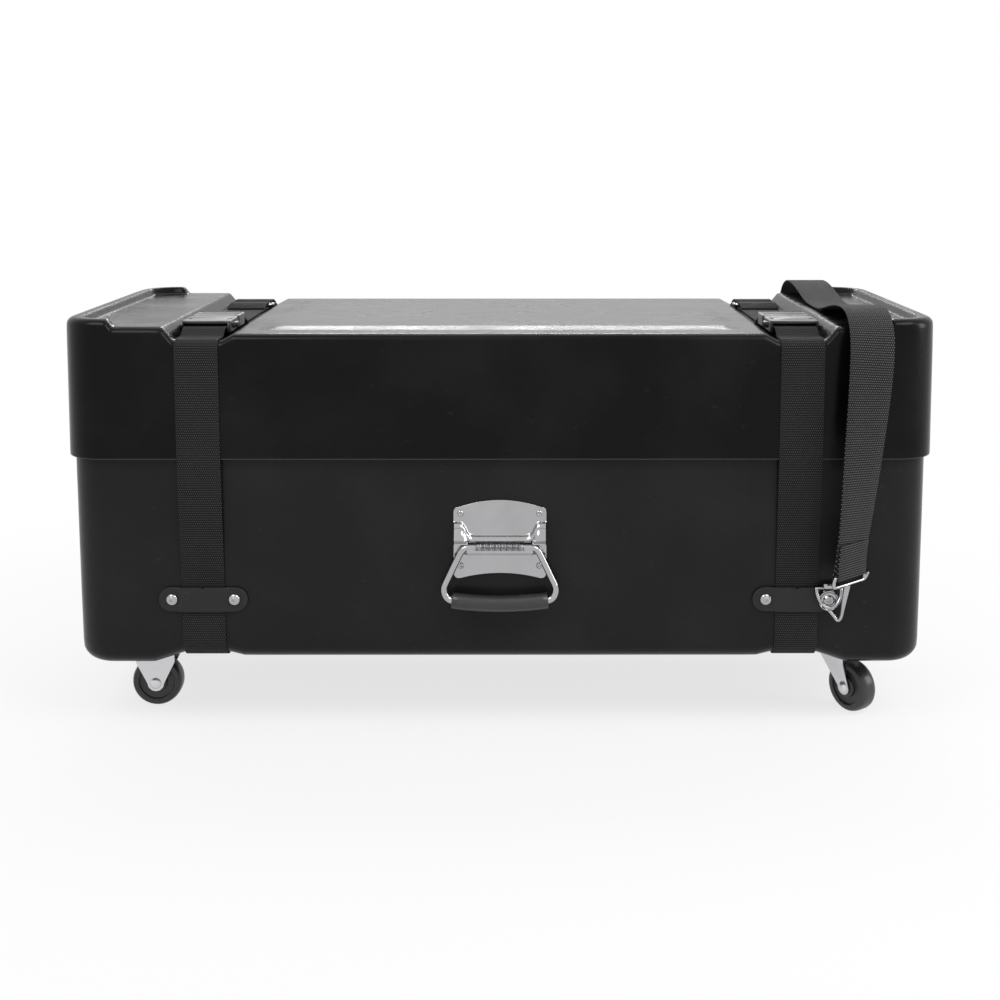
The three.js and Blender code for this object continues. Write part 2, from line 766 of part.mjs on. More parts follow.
function buckleSocket() {
  const cavity = box(buckleCavityWidth, buckleCavityDepth + cutOverrun, buckleCavityHeight,
    0, buckleSocketLength + (cutOverrun - buckleCavityDepth) / 2, buckleMiddle);
  const windowReach = buckleWindowSetback + buckleWindowLength; // open to the mouth, so that the heads slide out
  const windows = box(buckleWidth + 2 * cutOverrun, windowReach + cutOverrun, buckleCavityHeight,
    0, buckleSocketLength + (cutOverrun - windowReach) / 2, buckleMiddle);
  const holes = [-1, 1].map((end) => rod('z', buckleHoleRadius, buckleHoleDepth + cutOverrun,
    end * (buckleWidth / 2 - buckleCorner), buckleCorner, buckleHeight + (cutOverrun - buckleHoleDepth) / 2, 12));
  return cut(buckleBlock(buckleSocketLength, buckleHeight), [cavity, windows, strapPocket(0, 1), ...holes]);
}

function bucklePlug() {
  const tongue = box(tongueWidth, tongueLength + buckleCorner, plugCavityHeight,
    0, (buckleCorner - tongueLength) / 2, buckleMiddle);
  const slots = [1, 2].map((row) => box(webWidth, ladderSlot, buckleHeight,
    0, bucklePlugLength - bucklePocketDepth - row * (ladderBar + ladderSlot) + ladderSlot / 2,
    buckleHeight + buckleMiddle / 2));
  const block = cut(buckleBlock(bucklePlugLength, buckleHeight), [strapPocket(bucklePlugLength, -1), ...slots]);
  return joined([block, tongue]);
}

// One squeeze button: an arm from the plug with a head that stands in the socket's window
function buckleButton(end) {
  const headBack = buckleWindowSetback + buttonEndGap;
  const headFront = buckleWindowSetback + buckleWindowLength - buttonEndGap;
  const inner = buttonRoot - buttonArmWidth / 2;
  const outer = buttonRoot + buttonArmWidth / 2;
  const shoulder = buckleWidth / 2;
  const nose = (headFront - headBack) / 4;
  const shape = new THREE.Shape([
    [buttonRoot - buttonNeck / 2, -seatGap], [buttonRoot + buttonNeck / 2, -seatGap],
    [outer, -buttonNeckLength], [outer, -headBack], [shoulder, -headBack],
    [shoulder + buttonProud, -headBack - nose], [shoulder + buttonProud - nose / 4, -headFront + nose],
    [outer + nose / 4, -headFront], [inner, -headFront], [inner, -buttonNeckLength],
  ].map(([x, y]) => new THREE.Vector2(end * x, y)));
  return extruded(shape, buttonHeight).translate(0, 0, buckleMiddle - buttonHeight / 2);
}

function makeBuckles() {
  for (const [side, x] of [['left', -channelCentre], ['right', channelCentre]]) {
    addNode(`${side}_buckle_socket`, buckleSocket().translate(x, buckleFront, buckleBottom), acetal);
    addNode(`${side}_buckle_plug`, bucklePlug().translate(x, buckleMouth + seatGap, buckleBottom), acetal);
    for (const [place, end] of [['outer', Math.sign(x)], ['inner', -Math.sign(x)]]) {
      addNode(`${side}_buckle_${place}_button`,
        buckleButton(end).translate(x, buckleMouth + seatGap, buckleBottom), acetal);
    }
  }
}

// Strap retainers, clips and rivets: made for the front face and turned round for the back

const retainerOut = seatGap + retainerThickness; // outer face of the retainer's ends, from the base's face

function retainerGeometry() {
  const lift = webThickness + seatGap;
  const flat = webWidth / 2 + seatGap;
  const foot = flat + retainerRamp;
  const end = retainerLength / 2;
  const line = [[-end, 0], [-foot, 0], [-flat, lift], [flat, lift], [foot, 0], [end, 0]];
  const middle = seatGap + retainerThickness / 2;
  const profile = bandShape(line.map(([x, out]) => [x, -out - middle]), retainerThickness);
  const strip = extruded(profile, retainerHeight).translate(0, 0, -retainerHeight / 2);
  const face = towardsFront(roundedRectangle(retainerLength, retainerHeight, retainerHeight / 2 - seatGap),
    2 * retainerThickness + lift + cutOverrun, cutOverrun);
  const holes = [-1, 1].map((side) => rod('y', rivetRadius + seatGap, retainerThickness * 4,
    side * retainerRivetSpacing / 2, 0, 0, 8));
  return cut(common(strip, face), holes);
}

// A set rivet along Y: domed head outside, shank, and the formed end inside the base
function rivetGeometry(stack) {
  const head = -stack - seatGap;
  const back = baseWall + seatGap;
  const profile = [
    [0, head - rivetHeadHeight],
    [rivetHeadRadius / 2, head - rivetHeadHeight],
    [rivetHeadRadius, head - rivetHeadHeight / 4],
    [rivetHeadRadius, head],
    [rivetRadius, head],
    [rivetRadius, back],
    [rivetBackRadius, back],
    [rivetBackRadius, back + rivetBackHeight],
    [0, back + rivetBackHeight],
  ];
  return turnedProfile(profile, 8);
}

const clipLeafGap = 0.2;
const clipInner = retainerOut + seatGap + clipThickness / 2; // middle of the clip's inner leaf
const clipCurl = ringWire / 2 + seatGap + clipThickness / 2;
const clipStack = clipInner + clipLeafGap + 1.5 * clipThickness;
const ringAxisOut = clipInner + clipCurl;

// Steel strip folded round the ring's bar, both leaves under the rivet's head
function clipGeometry() {
  const outerLeaf = clipInner + clipThickness + clipLeafGap;
  const line = roundedLine([
    [clipInner, -clipDrop],
    [clipInner, ringAxisRise + clipCurl],
    [clipInner + 2 * clipCurl, ringAxisRise + clipCurl],
    [clipInner + 2 * clipCurl, ringAxisRise - clipCurl / 2],
    [outerLeaf, ringAxisRise - 2 * clipCurl],
    [outerLeaf, -clipDrop],
  ], [clipCurl, clipCurl, clipThickness, clipThickness], 3);
  const strip = acrossX(bandShape(line.map(([out, z]) => [-out, z]), clipThickness), clipWidth, 0);
  const hole = rod('y', rivetRadius + seatGap, 4 * clipStack, 0, 0, 0, 8);
  return cut(strip, [hole]);
}

// D-shaped ring hanging from its straight bar, which is at the origin
function ringGeometry() {
  const half = (ringWidth - ringWire) / 2;
  const points = [new THREE.Vector3(half, 0, 0)];
  for (let i = 0; i <= 9; i++) {
    const angle = -(i / 9) * Math.PI;
    points.push(new THREE.Vector3(half * Math.cos(angle), -ringWire / 4 + ringDrop * Math.sin(angle), 0));
  }
  points.push(new THREE.Vector3(-half, 0, 0));
  const lean = Math.atan2(ringLean, ringDrop);
  return sweptRing(points.reverse(), ringWire, 8).rotateX(Math.PI / 2 - lean);
}

// The strap's wire hook: a closed eye for the webbing and a V-shaped hook through the ring
function hookGeometry(rivetX, rivetZ) {
  const eye = wireRectangle(webWidth + 2 * seatGap, eyeRise, eyeWire)
    .rotateX(Math.PI / 2)
    .translate(0, 0, eyeBarHeight + eyeRise / 2)
    .rotateZ(THREE.MathUtils.degToRad(eyeYaw))
    .translate(rivetX + eyeOffset, -baseFace - eyeOut, 0);
  const route = hookShares.map(([across, out, up]) => new THREE.Vector3(
    rivetX + across * hookSpan, -baseFace - out * hookOut, rivetZ + up * hookRise));
  return joined([eye, wire(route, hookWire, 15, 6)]);
}

function mirroredY(geometry) {
  const flipped = geometry.clone().scale(1, -1, 1);
  const index = flipped.index ?? new THREE.BufferAttribute(
    Uint32Array.from({ length: flipped.attributes.position.count }, (_, i) => i), 1);
  for (let i = 0; i < index.count; i += 3) {
    const kept = index.getX(i);
    index.setX(i, index.getX(i + 1));
    index.setX(i + 1, kept);
  }
  flipped.setIndex(index);
  flipped.deleteAttribute('normal');
  return flipped;
}

function makeRetainers() {
  for (const [face, turn] of [['front', 1], ['back', -1]]) {
    const place = (geometry) => (turn > 0 ? geometry : mirroredY(geometry));
    for (const [side, sign] of [['left', -1], ['right', 1]]) {
      const retainer = retainerGeometry().translate(sign * channelCentre, -baseFace, retainerCentreHeight);
      addNode(`${side}_retainer_${face}`, place(retainer), vinyl);
      for (const [end, away] of [['inner', -1], ['outer', 1]]) {
        const held = side === 'right' && end === 'outer' ? clipStack : retainerOut;
        const x = sign * (channelCentre + away * retainerRivetSpacing / 2);
        const rivet = rivetGeometry(held).translate(x, -baseFace, retainerCentreHeight);
        addNode(`${side}_${end}_rivet_${face}`, place(rivet), chrome);
      }
    }
    const clip = clipGeometry().translate(ringRivetX, -baseFace, retainerCentreHeight);
    const ring = ringGeometry().translate(ringRivetX, -baseFace - ringAxisOut, retainerCentreHeight + ringAxisRise);
    addNode(`tow_ring_clip_${face}`, place(clip), chrome);
    addNode(`tow_ring_${face}`, place(ring), chrome);
    addNode(`tow_hook_${face}`, place(hookGeometry(ringRivetX, retainerCentreHeight)), chrome);
  }
}

// Tow strap: a flat section along its line, turned by its twist

function makeTowStrap() {
  const end = eyeBarHeight + eyeRise + eyeWire / 2 + 2 * seatGap;
  const rise = padHeight - end;
  const eyeX = ringRivetX + eyeOffset;
  const front = [
    ...towCrestShares.map(([forward, above]) => [
      eyeX + towSlant, -forward * lidFaceRim, padHeight + above * towRise, 0]),
    ...towFallShares.map(([slant, out, up, twist]) => [
      eyeX + slant * towSlant, -lidFaceRim - out * towSwell, end + up * rise, twist * eyeYaw]),
  ];
  const rear = front.slice(1).reverse().map(([x, y, z, twist]) => [x, -y, z, -twist]);
  const stations = [...rear, ...front];
  const middle = stations.map(([x, y, z]) => new THREE.Vector3(x, y, z));
  const positions = [];
  middle.forEach((point, i) => {
    const before = middle[Math.max(i - 1, 0)];
    const after = middle[Math.min(i + 1, middle.length - 1)];
    const along = after.clone().sub(before).normalize();
    const twist = THREE.MathUtils.degToRad(stations[i][3]);
    const across = new THREE.Vector3(Math.cos(twist), Math.sin(twist), 0);
    across.addScaledVector(along, -across.dot(along)).normalize();
    const normal = along.clone().cross(across);
    for (const [u, v] of [[-1, -1], [1, -1], [1, 1], [-1, 1]]) {
      positions.push(...point.clone()
        .addScaledVector(across, u * webWidth / 2)
        .addScaledVector(normal, v * towThickness / 2).toArray());
    }
  });
  const triangles = [0, 2, 1, 0, 3, 2];
  for (let i = 0; i + 1 < middle.length; i++) {
    for (let k = 0; k < 4; k++) {
      const a = 4 * i + k;
      const b = 4 * i + (k + 1) % 4;
      triangles.push(a, b, b + 4, a, b + 4, a + 4);
    }
  }
  const last = 4 * (middle.length - 1);
  triangles.push(last, last + 1, last + 2, last, last + 2, last + 3);
  const geometry = new THREE.BufferGeometry();
  geometry.setAttribute('position', new THREE.Float32BufferAttribute(positions, 3));
  geometry.setIndex(triangles);
  addNode('tow_strap', geometry, webbing);
}

// Handles

const handlePlateOut = seatGap + handlePlateThickness;
const handlePlateTop = handleHeight + handlePlateRise;
const handlePlateBottom = handleHeight - handlePlateDrop;
const handleEarTop = handleHeight + handleEarRise;

function handlePlate() {
  const half = handlePlateWidth / 2;
  const flat = half - handlePlateCorner;
  const outline = new THREE.Shape();
  outline.moveTo(-flat, handlePlateBottom);
  outline.quadraticCurveTo(0, handlePlateBottom + 2 * handlePlateCrown, flat, handlePlateBottom);
  outline.quadraticCurveTo(half, handlePlateBottom, half, handlePlateBottom + handlePlateCorner);
  outline.lineTo(half, handlePlateTop - handlePlateCorner);
  outline.quadraticCurveTo(half, handlePlateTop, flat, handlePlateTop);
  outline.quadraticCurveTo(0, handlePlateTop + 2 * handlePlateCrown, -flat, handlePlateTop);
  outline.quadraticCurveTo(-half, handlePlateTop, -half, handlePlateTop - handlePlateCorner);
  outline.lineTo(-half, handlePlateBottom + handlePlateCorner);
  outline.quadraticCurveTo(-half, handlePlateBottom, -flat, handlePlateBottom);
  const sheet = towardsFront(outline, handlePlateThickness, -seatGap, 6);
  const earFoot = handleHeight + handleRidgeHeight;
  const earInner = half - handleEarWidth;
  const pressing = new THREE.Shape();
  pressing.moveTo(-half, earFoot);
  pressing.lineTo(half, earFoot);
  pressing.lineTo(half, handleEarTop);
  pressing.quadraticCurveTo(earInner, handleEarTop, earInner, earFoot + handleHoodRise);
  pressing.lineTo(-earInner, earFoot + handleHoodRise);
  pressing.quadraticCurveTo(-earInner, handleEarTop, -half, handleEarTop);
  const ears = towardsFront(pressing, handlePlateThickness / 2 + handleEarOut,
    -seatGap - handlePlateThickness / 2, 5);
  const barrel = rod('x', handleBarrelRadius, handleBarrelLength, 0, -handleAxisOut, handleHeight, 12);
  const shroud = acrossX(new THREE.Shape([
    [-seatGap, handleHeight],
    [-handleAxisOut, handleHeight + handleBarrelRadius],
    [-handlePlateOut - handleRidgeOut, handleHeight + handleRidgeHeight],
    [-seatGap, handleHeight + 2 * handleRidgeHeight],
  ].map(([y, z]) => new THREE.Vector2(y, z))), handleBarrelLength, 0);
  const rivets = handleRivets.map(([x, z]) => turnedProfile([
    [0, -handlePlateOut - handleRivetHeadHeight],
    [handleRivetHeadRadius, -handlePlateOut + seatGap],
    [rivetRadius, -handlePlateOut + seatGap],
    [rivetRadius, baseWall + seatGap],
    [rivetBackRadius, baseWall + seatGap],
    [rivetBackRadius, baseWall + seatGap + rivetBackHeight],
    [0, baseWall + seatGap + rivetBackHeight],
  ], 8).translate(x, 0, z));
  const bore = rod('x', bailWire / 2 + turnGap, handleBarrelLength + 2 * cutOverrun,
    0, -handleAxisOut, handleHeight, 12);
  return cut(joined([sheet, ears, shroud, barrel, ...rivets]), [bore]);
}

// A point of the hanging bail: across, and down from the hinge line
function bailPoint(x, drop) {
  const out = handleAxisOut + (gripOut - handleAxisOut) * drop / gripDrop;
  return new THREE.Vector3(x, -out, handleHeight - drop);
}

function bailGeometry() {
  const barrelEnd = handleBarrelLength / 2;
  const half = [
    [barrelEnd - bailInset, 0],
    [barrelEnd, 0],
    [bailShoulder - seatGap, bailWire / 8],
    [bailShoulder + bailWire / 2, bailWire],
    [bailWidest - bailWire / 2, bailWidestDrop - bailWire],
    [bailWidest, bailWidestDrop],
    [bailWidest - bailWire / 4, bailWidestDrop + bailWire],
    [bailFoot + bailWire / 2, gripDrop - bailWire / 5],
    [bailFoot, gripDrop],
    [bailFoot - bailWire / 2, gripDrop],
    [bailFoot / 2, gripDrop],
  ];
  const points = [
    ...half.map(([x, drop]) => bailPoint(-x, drop)),
    ...[...half].reverse().map(([x, drop]) => bailPoint(x, drop)),
  ];
  return wire(points, bailWire, 34);
}

function gripGeometry() {
  const half = gripLength / 2;
  const bore = bailWire / 2 + turnGap;
  const profile = [
    [bore, -half],
    [gripRadius - gripEndRound, -half],
    [gripRadius, -half + gripEndRound],
    [gripRadius, half - gripEndRound],
    [gripRadius - gripEndRound, half],
    [bore, half],
    [bore, -half],
  ];
  return turnedProfile(profile, 16).rotateZ(Math.PI / 2).translate(0, -gripOut, handleHeight - gripDrop);
}

function makeHandles() {
  for (const [face, turn] of [['front', 1], ['back', -1]]) {
    const place = (geometry) => {
      geometry.translate(0, -baseFace, 0);
      return turn > 0 ? geometry : mirroredY(geometry);
    };
    addNode(`handle_plate_${face}`, place(handlePlate()), chrome);
    addNode(`handle_bail_${face}`, place(bailGeometry()), chrome);
    addNode(`handle_grip_${face}`, place(gripGeometry()), vinyl);
  }
}

// Casters, drawn below Z = 0 with the wheel trailing along +X

const axleDrop = footHeight - seatGap - wheelRadius;
const forkInner = wheelWidth / 2 + forkSideGap;
const forkOuter = forkInner + forkThickness;

function wheelGeometry() {
  const half = wheelWidth / 2;
  const bore = axleRadius + turnGap;
  const web = wheelRadius - wheelRimDepth;
  const side = [
    [wheelRadius, half - wheelShoulder],
    [wheelRadius - wheelShoulder / 2, half - wheelShoulder / 6],
    [web, half],
    [web - wheelDish / 2, half - wheelDish],
    [hubRadius, half - wheelDish],
    [hubRadius - wheelDish / 2, half],
    [bore, half],
  ];
  const profile = [...side.map(([r, h]) => [r, -h]).reverse(), ...side];
  return turnedProfile([...profile, profile[0]], 18);
}

function axleGeometry() {
  const profile = [
    [0, -forkOuter - seatGap - axleHeadHeight],
    [axleHeadRadius / 2, -forkOuter - seatGap - axleHeadHeight],
    [axleHeadRadius, -forkOuter - seatGap],
    [axleRadius, -forkOuter - seatGap],
    [axleRadius, forkOuter + seatGap],
    [axleHeadRadius, forkOuter + seatGap],
    [axleHeadRadius / 2, forkOuter + seatGap + axleHeadHeight],
    [0, forkOuter + seatGap + axleHeadHeight],
  ];
  return turnedProfile(profile, 12);
}

// One side of a fork: straight along the top, round at the axle
function forkSide(topStart, topEnd, top, axleX) {
  const shape = new THREE.Shape();
  shape.moveTo(topStart, top);
  shape.lineTo(axleX - forkFootRadius, -axleDrop);
  shape.absarc(axleX, -axleDrop, forkFootRadius, Math.PI, 2 * Math.PI);
  shape.lineTo(topEnd, top);
  return towardsFront(shape, forkThickness, 0, 4);
}

function forkGeometry(topStart, topEnd, top, axleX, topHole) {
  const overlap = forkThickness / 2;
  const sides = [forkInner + forkThickness, -forkInner].map(
    (y) => forkSide(topStart, topEnd, top - overlap, axleX).translate(0, y, 0));
  const bridge = box(topEnd - topStart, 2 * forkOuter, forkThickness,
    (topStart + topEnd) / 2, 0, top - forkThickness / 2);
  const holes = [rod('y', axleRadius + seatGap, 4 * forkOuter, axleX, 0, -axleDrop, 12)];
  if (topHole) holes.push(rod('z', kingpinRadius + turnGap, 4 * forkThickness, 0, 0, top, 12));
  return cut(joined([...sides, bridge]), holes);
}

function casterPlate() {
  const outline = roundedRectangle(casterPlateLength, casterPlateWidth, casterPlateCorner);
  return extruded(outline, casterPlateThickness, 2).translate(0, 0, -casterPlateThickness);
}

function addWheel(name, parent, axleX) {
  addNode(`${name}_wheel`, wheelGeometry().translate(axleX, 0, -axleDrop), rubber, parent);
  addNode(`${name}_axle`, axleGeometry().translate(axleX, 0, -axleDrop), zinc, parent);
}

function makeCasters() {
  const halfTrack = lidDepth / 2 - casterSideSetback;
  for (const [face, sign] of [['front', -1], ['back', 1]]) {
    const rigid = new THREE.Group();
    rigid.position.set(rigidCasterSetback - lidLength / 2, sign * halfTrack, footHeight - seatGap);
    part.add(rigid);
    const rigidTop = -casterPlateThickness / 2;
    const rigidFork = forkGeometry(-forkTopLength / 2, forkTopLength / 2, rigidTop, 0, false);
    addNode(`left_${face}_caster_fork`, joined([casterPlate(), rigidFork]), zinc, rigid);
    addWheel(`left_${face}_caster`, rigid, 0);

    const swivel = new THREE.Group();
    swivel.position.set(lidLength / 2 - swivelCasterSetback, sign * halfTrack, footHeight - seatGap);
    part.add(swivel);
    addNode(`right_${face}_caster_plate`, swivelPlate(), zinc, swivel);
    const turned = new THREE.Group();
    turned.rotation.z = THREE.MathUtils.degToRad(swivelAngle);
    swivel.add(turned);
    const start = -swivelForkTopLength / 2;
    const fork = forkGeometry(start, start + swivelForkTopLength, -swivelForkTopDrop, swivelTrail, true);
    addNode(`right_${face}_caster_fork`, fork, zinc, turned);
    addWheel(`right_${face}_caster`, turned, swivelTrail);
  }
}

// Top plate with the ball race's cup and the kingpin that carries the fork
function swivelPlate() {
  const forkBottom = swivelForkTopDrop + forkThickness;
  const post = turnedProfile([
    [0, -forkBottom - turnGap - kingpinHeadHeight],
    [kingpinHeadRadius, -forkBottom - turnGap - kingpinHeadHeight],
    [kingpinHeadRadius, -forkBottom - turnGap],
    [kingpinRadius, -forkBottom - turnGap],
    [kingpinRadius, -swivelForkTopDrop + turnGap],
    [raceRadius - raceDrop / 3, -swivelForkTopDrop + turnGap],
    [raceRadius, -raceDrop],
    [raceRadius, -casterPlateThickness / 2],
    [0, -casterPlateThickness / 2],
  ], 12).rotateX(Math.PI / 2);
  return joined([casterPlate(), post]);
}

makeLid();
makeBase();
makeStraps();
makeLoops();
makeBuckles();
makeRetainers();
makeTowStrap();
makeHandles();
makeCasters();

export default part;
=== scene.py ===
import json
import math

import bmesh
import bpy
from mathutils import Matrix, Vector


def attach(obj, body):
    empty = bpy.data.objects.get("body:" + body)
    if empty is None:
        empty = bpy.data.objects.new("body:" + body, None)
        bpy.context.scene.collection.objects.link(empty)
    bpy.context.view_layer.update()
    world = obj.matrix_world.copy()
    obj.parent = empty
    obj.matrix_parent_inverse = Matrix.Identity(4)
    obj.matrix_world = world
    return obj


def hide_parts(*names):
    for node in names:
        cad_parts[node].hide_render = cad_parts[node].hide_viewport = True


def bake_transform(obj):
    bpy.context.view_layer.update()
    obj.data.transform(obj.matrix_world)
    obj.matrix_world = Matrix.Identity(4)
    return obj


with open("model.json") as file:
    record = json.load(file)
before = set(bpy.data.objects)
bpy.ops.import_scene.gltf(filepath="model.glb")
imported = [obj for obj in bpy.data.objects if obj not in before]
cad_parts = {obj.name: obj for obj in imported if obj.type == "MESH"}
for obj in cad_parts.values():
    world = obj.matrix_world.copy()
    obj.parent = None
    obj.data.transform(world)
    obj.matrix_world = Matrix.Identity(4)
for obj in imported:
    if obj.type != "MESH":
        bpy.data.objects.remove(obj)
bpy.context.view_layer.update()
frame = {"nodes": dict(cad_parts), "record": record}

# Black moulded case on casters. Lengths are in metres, and mm turns millimetres into them.
mm = 0.001
sides = (('left', -1), ('right', 1))
scene = bpy.context.scene
scene.view_settings.view_transform = 'Standard'


# Small helpers for selecting and shaping

def onlySelect(piece):
    for other in bpy.context.selected_objects:
        other.select_set(False)
    piece.select_set(True)
    bpy.context.view_layer.objects.active = piece


def startEdit(piece):
    onlySelect(piece)
    bpy.ops.object.mode_set(mode='EDIT')


def endEdit():
    bpy.ops.object.mode_set(mode='OBJECT')


def choose(piece, kind, test):  # selects the vertices, edges or faces that pass the test
    bpy.ops.mesh.select_mode(type=kind)
    bpy.ops.mesh.select_all(action='DESELECT')
    shape = bmesh.from_edit_mesh(piece.data)
    for part in {'VERT': shape.verts, 'EDGE': shape.edges, 'FACE': shape.faces}[kind]:
        if test(part):
            part.select_set(True)
    bmesh.update_edit_mesh(piece.data)


def edgeMiddle(edge):
    return (edge.verts[0].co + edge.verts[1].co) / 2


def edgeRun(edge):
    return (edge.verts[1].co - edge.verts[0].co).normalized()


def isUpright(edge):
    return abs(edgeRun(edge).z) > 0.9


def isLevel(edge):
    return abs(edgeRun(edge).z) < 0.1


def facesUp(face):
    return face.normal.z > 0.999


def facesDown(face):
    return face.normal.z < -0.999


def ramp(value, start, end):  # 0 before start, 1 after end, and even between them
    return min(max((value - start) / (end - start), 0), 1)


def smoothStep(value):
    share = ramp(value, 0, 1)
    return share * share * (3 - 2 * share)


def lookUp(table, value):  # straight lines between the table's rows, which run from high to low
    if value >= table[0][0]:
        return table[0][1]
    for (high, first), (low, second) in zip(table, table[1:]):
        if value >= low:
            return first + (second - first) * (high - value) / (high - low)
    return table[-1][1]


def fromMillimetres(points):
    return [tuple(value * mm for value in point) for point in points]


def settle(piece):  # leaves the object at the origin, with its place in its mesh
    onlySelect(piece)
    bpy.ops.object.transform_apply(location=True, rotation=True, scale=True)


def startBox(name, low, high):
    size = [high[i] - low[i] for i in range(3)]
    middle = [(high[i] + low[i]) / 2 for i in range(3)]
    bpy.ops.object.select_all(action='DESELECT')
    bpy.ops.mesh.primitive_cube_add(size=1, location=middle, scale=size)
    piece = bpy.context.object
    piece.name = name
    settle(piece)
    return piece


def startRod(name, axis, radius, length, place, corners=32):
    turns = {'x': (0, math.pi / 2, 0), 'y': (math.pi / 2, 0, 0), 'z': (0, 0, 0)}
    bpy.ops.object.select_all(action='DESELECT')
    bpy.ops.mesh.primitive_cylinder_add(vertices=corners, radius=radius, depth=length, location=place,
                                        rotation=turns[axis])
    piece = bpy.context.object
    piece.name = name
    settle(piece)
    return piece


def addModifier(piece, kind, settings):
    onlySelect(piece)
    modifier = piece.modifiers.new(kind.lower(), kind)
    for key, value in settings.items():
        setattr(modifier, key, value)
    bpy.ops.object.modifier_apply(modifier=modifier.name)


def roundEdges(piece, width, segments=2, angle=35):
    addModifier(piece, 'BEVEL', {'width': width, 'segments': segments, 'limit_method': 'ANGLE',
                                 'angle_limit': math.radians(angle)})


def smoothShade(piece, angle=35):
    onlySelect(piece)
    bpy.ops.object.shade_smooth_by_angle(angle=math.radians(angle))


def joinPieces(name, pieces):
    onlySelect(pieces[0])
    for piece in pieces[1:]:
        piece.select_set(True)
    bpy.context.view_layer.objects.active = pieces[0]
    bpy.ops.object.join()
    joined = bpy.context.object
    joined.name = name
    joined.data.name = name
    return joined


def copyOf(piece, name):
    twin = bpy.data.objects.new(name, piece.data.copy())
    scene.collection.objects.link(twin)
    return twin


def placedCopy(piece, name, matrix):
    twin = copyOf(piece, name)
    twin.data.transform(matrix)
    return twin


def movedCopy(piece, name, move):
    return placedCopy(piece, name, Matrix.Translation(move))


def mirroredCopy(piece, name, axis):  # the same piece on the other side of the middle
    scale = [-1 if letter == axis else 1 for letter in 'xyz']
    twin = placedCopy(piece, name, Matrix.Diagonal((*scale, 1)))
    startEdit(twin)
    bpy.ops.mesh.select_all(action='SELECT')
    bpy.ops.mesh.flip_normals()
    endEdit()
    return twin


def frontOrBackCopy(piece, name, word):  # the back of the case mirrors its front
    return copyOf(piece, name) if word == 'front' else mirroredCopy(piece, name, 'y')


def nodeCopy(node, name):  # a copy of a CAD node, with its loose triangles merged
    piece = bpy.data.objects.new(name, frame['nodes'][node].data.copy())
    scene.collection.objects.link(piece)
    piece.data.materials.clear()
    startEdit(piece)
    bpy.ops.mesh.select_all(action='SELECT')
    bpy.ops.mesh.remove_doubles(threshold=0.01 * mm)
    bpy.ops.mesh.dissolve_limited(angle_limit=math.radians(1))
    endEdit()
    return piece


# Shapes started from a flat outline, a turned profile or a bent wire

def startOutline(name, points, fill='NGON'):  # a ring of corners set at these points
    bpy.ops.object.select_all(action='DESELECT')
    bpy.ops.mesh.primitive_circle_add(vertices=len(points), radius=1, fill_type=fill)
    piece = bpy.context.object
    piece.name = name
    for vert, point in zip(piece.data.vertices, points):
        vert.co = point
    return piece


def squareUp():  # merges doubles and turns the faces outwards, inside edit mode
    bpy.ops.mesh.select_all(action='SELECT')
    bpy.ops.mesh.remove_doubles(threshold=0.005 * mm)
    bpy.ops.mesh.normals_make_consistent(inside=False)


def startSheet(name, points, move, rim=0.0):  # a flat plate: an outline drawn out along one direction
    piece = startOutline(name, points)
    startEdit(piece)
    bpy.ops.mesh.select_all(action='SELECT')
    bpy.ops.mesh.extrude_region_move(TRANSFORM_OT_translate={'value': move})
    squareUp()
    if rim:  # a narrow flat rim keeps the broad faces evenly shaded beside rounded edges
        run = Vector(move).normalized()
        choose(piece, 'FACE', lambda face: abs(face.normal.dot(run)) > 0.99)
        bpy.ops.mesh.inset(thickness=rim)
    endEdit()
    return piece


def turnProfile(name, profile, axis, place, steps=32, closed=False):  # spins (radius, along) points
    across = (0, 0, 1) if axis == 'x' else (1, 0, 0)
    along = {'x': (1, 0, 0), 'y': (0, 1, 0), 'z': (0, 0, 1)}[axis]
    place = Vector(place)
    points = [place + Vector(across) * radius + Vector(along) * run for radius, run in profile]
    piece = startOutline(name, points, 'NOTHING')
    startEdit(piece)
    if not closed:
        ends = {0, len(points) - 1}
        choose(piece, 'EDGE', lambda edge: {vert.index for vert in edge.verts} == ends)
        bpy.ops.mesh.delete(type='EDGE')
    bpy.ops.mesh.select_mode(type='VERT')
    bpy.ops.mesh.select_all(action='SELECT')
    bpy.ops.mesh.spin(steps=steps, angle=2 * math.pi, center=place, axis=along)
    squareUp()
    endEdit()
    return piece


def bendWire(name, points, radius, closed=False, swell=None, resolution=3):  # round wire along points
    path = bpy.data.curves.new(name, 'CURVE')
    path.dimensions = '3D'
    path.bevel_depth = radius
    path.bevel_resolution = resolution
    path.use_fill_caps = True
    spline = path.splines.new('POLY')
    spline.points.add(len(points) - 1)
    for index, point in enumerate(points):
        spline.points[index].co = (*point, 1)
        spline.points[index].radius = swell[index] if swell else 1
    spline.use_cyclic_u = closed
    wire = bpy.data.objects.new(name, path)
    scene.collection.objects.link(wire)
    onlySelect(wire)
    bpy.ops.object.convert(target='MESH')
    piece = bpy.context.object
    piece.data.name = name
    startEdit(piece)
    squareUp()
    endEdit()
    smoothShade(piece, 45)
    return piece


def dropPieces(pieces):
    for piece in pieces:
        bpy.data.objects.remove(piece)


def cutAway(piece, cutters):
    for cutter in cutters:
        addModifier(piece, 'BOOLEAN', {'object': cutter, 'operation': 'DIFFERENCE', 'solver': 'EXACT'})
    dropPieces(cutters)


bodyOf = {node: body for body, nodes in frame['record']['behaviour']['bodies'].items() for node in nodes}


def coat(piece, material):
    piece.data.materials.clear()
    piece.data.materials.append(material)


def dress(piece, material, node):  # gives a piece its finish and lets it stand for a CAD node
    coat(piece, material)
    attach(piece, bodyOf[node])
    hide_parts(node)


# Shader maths: a value is an output socket, and an expression on values adds Math nodes

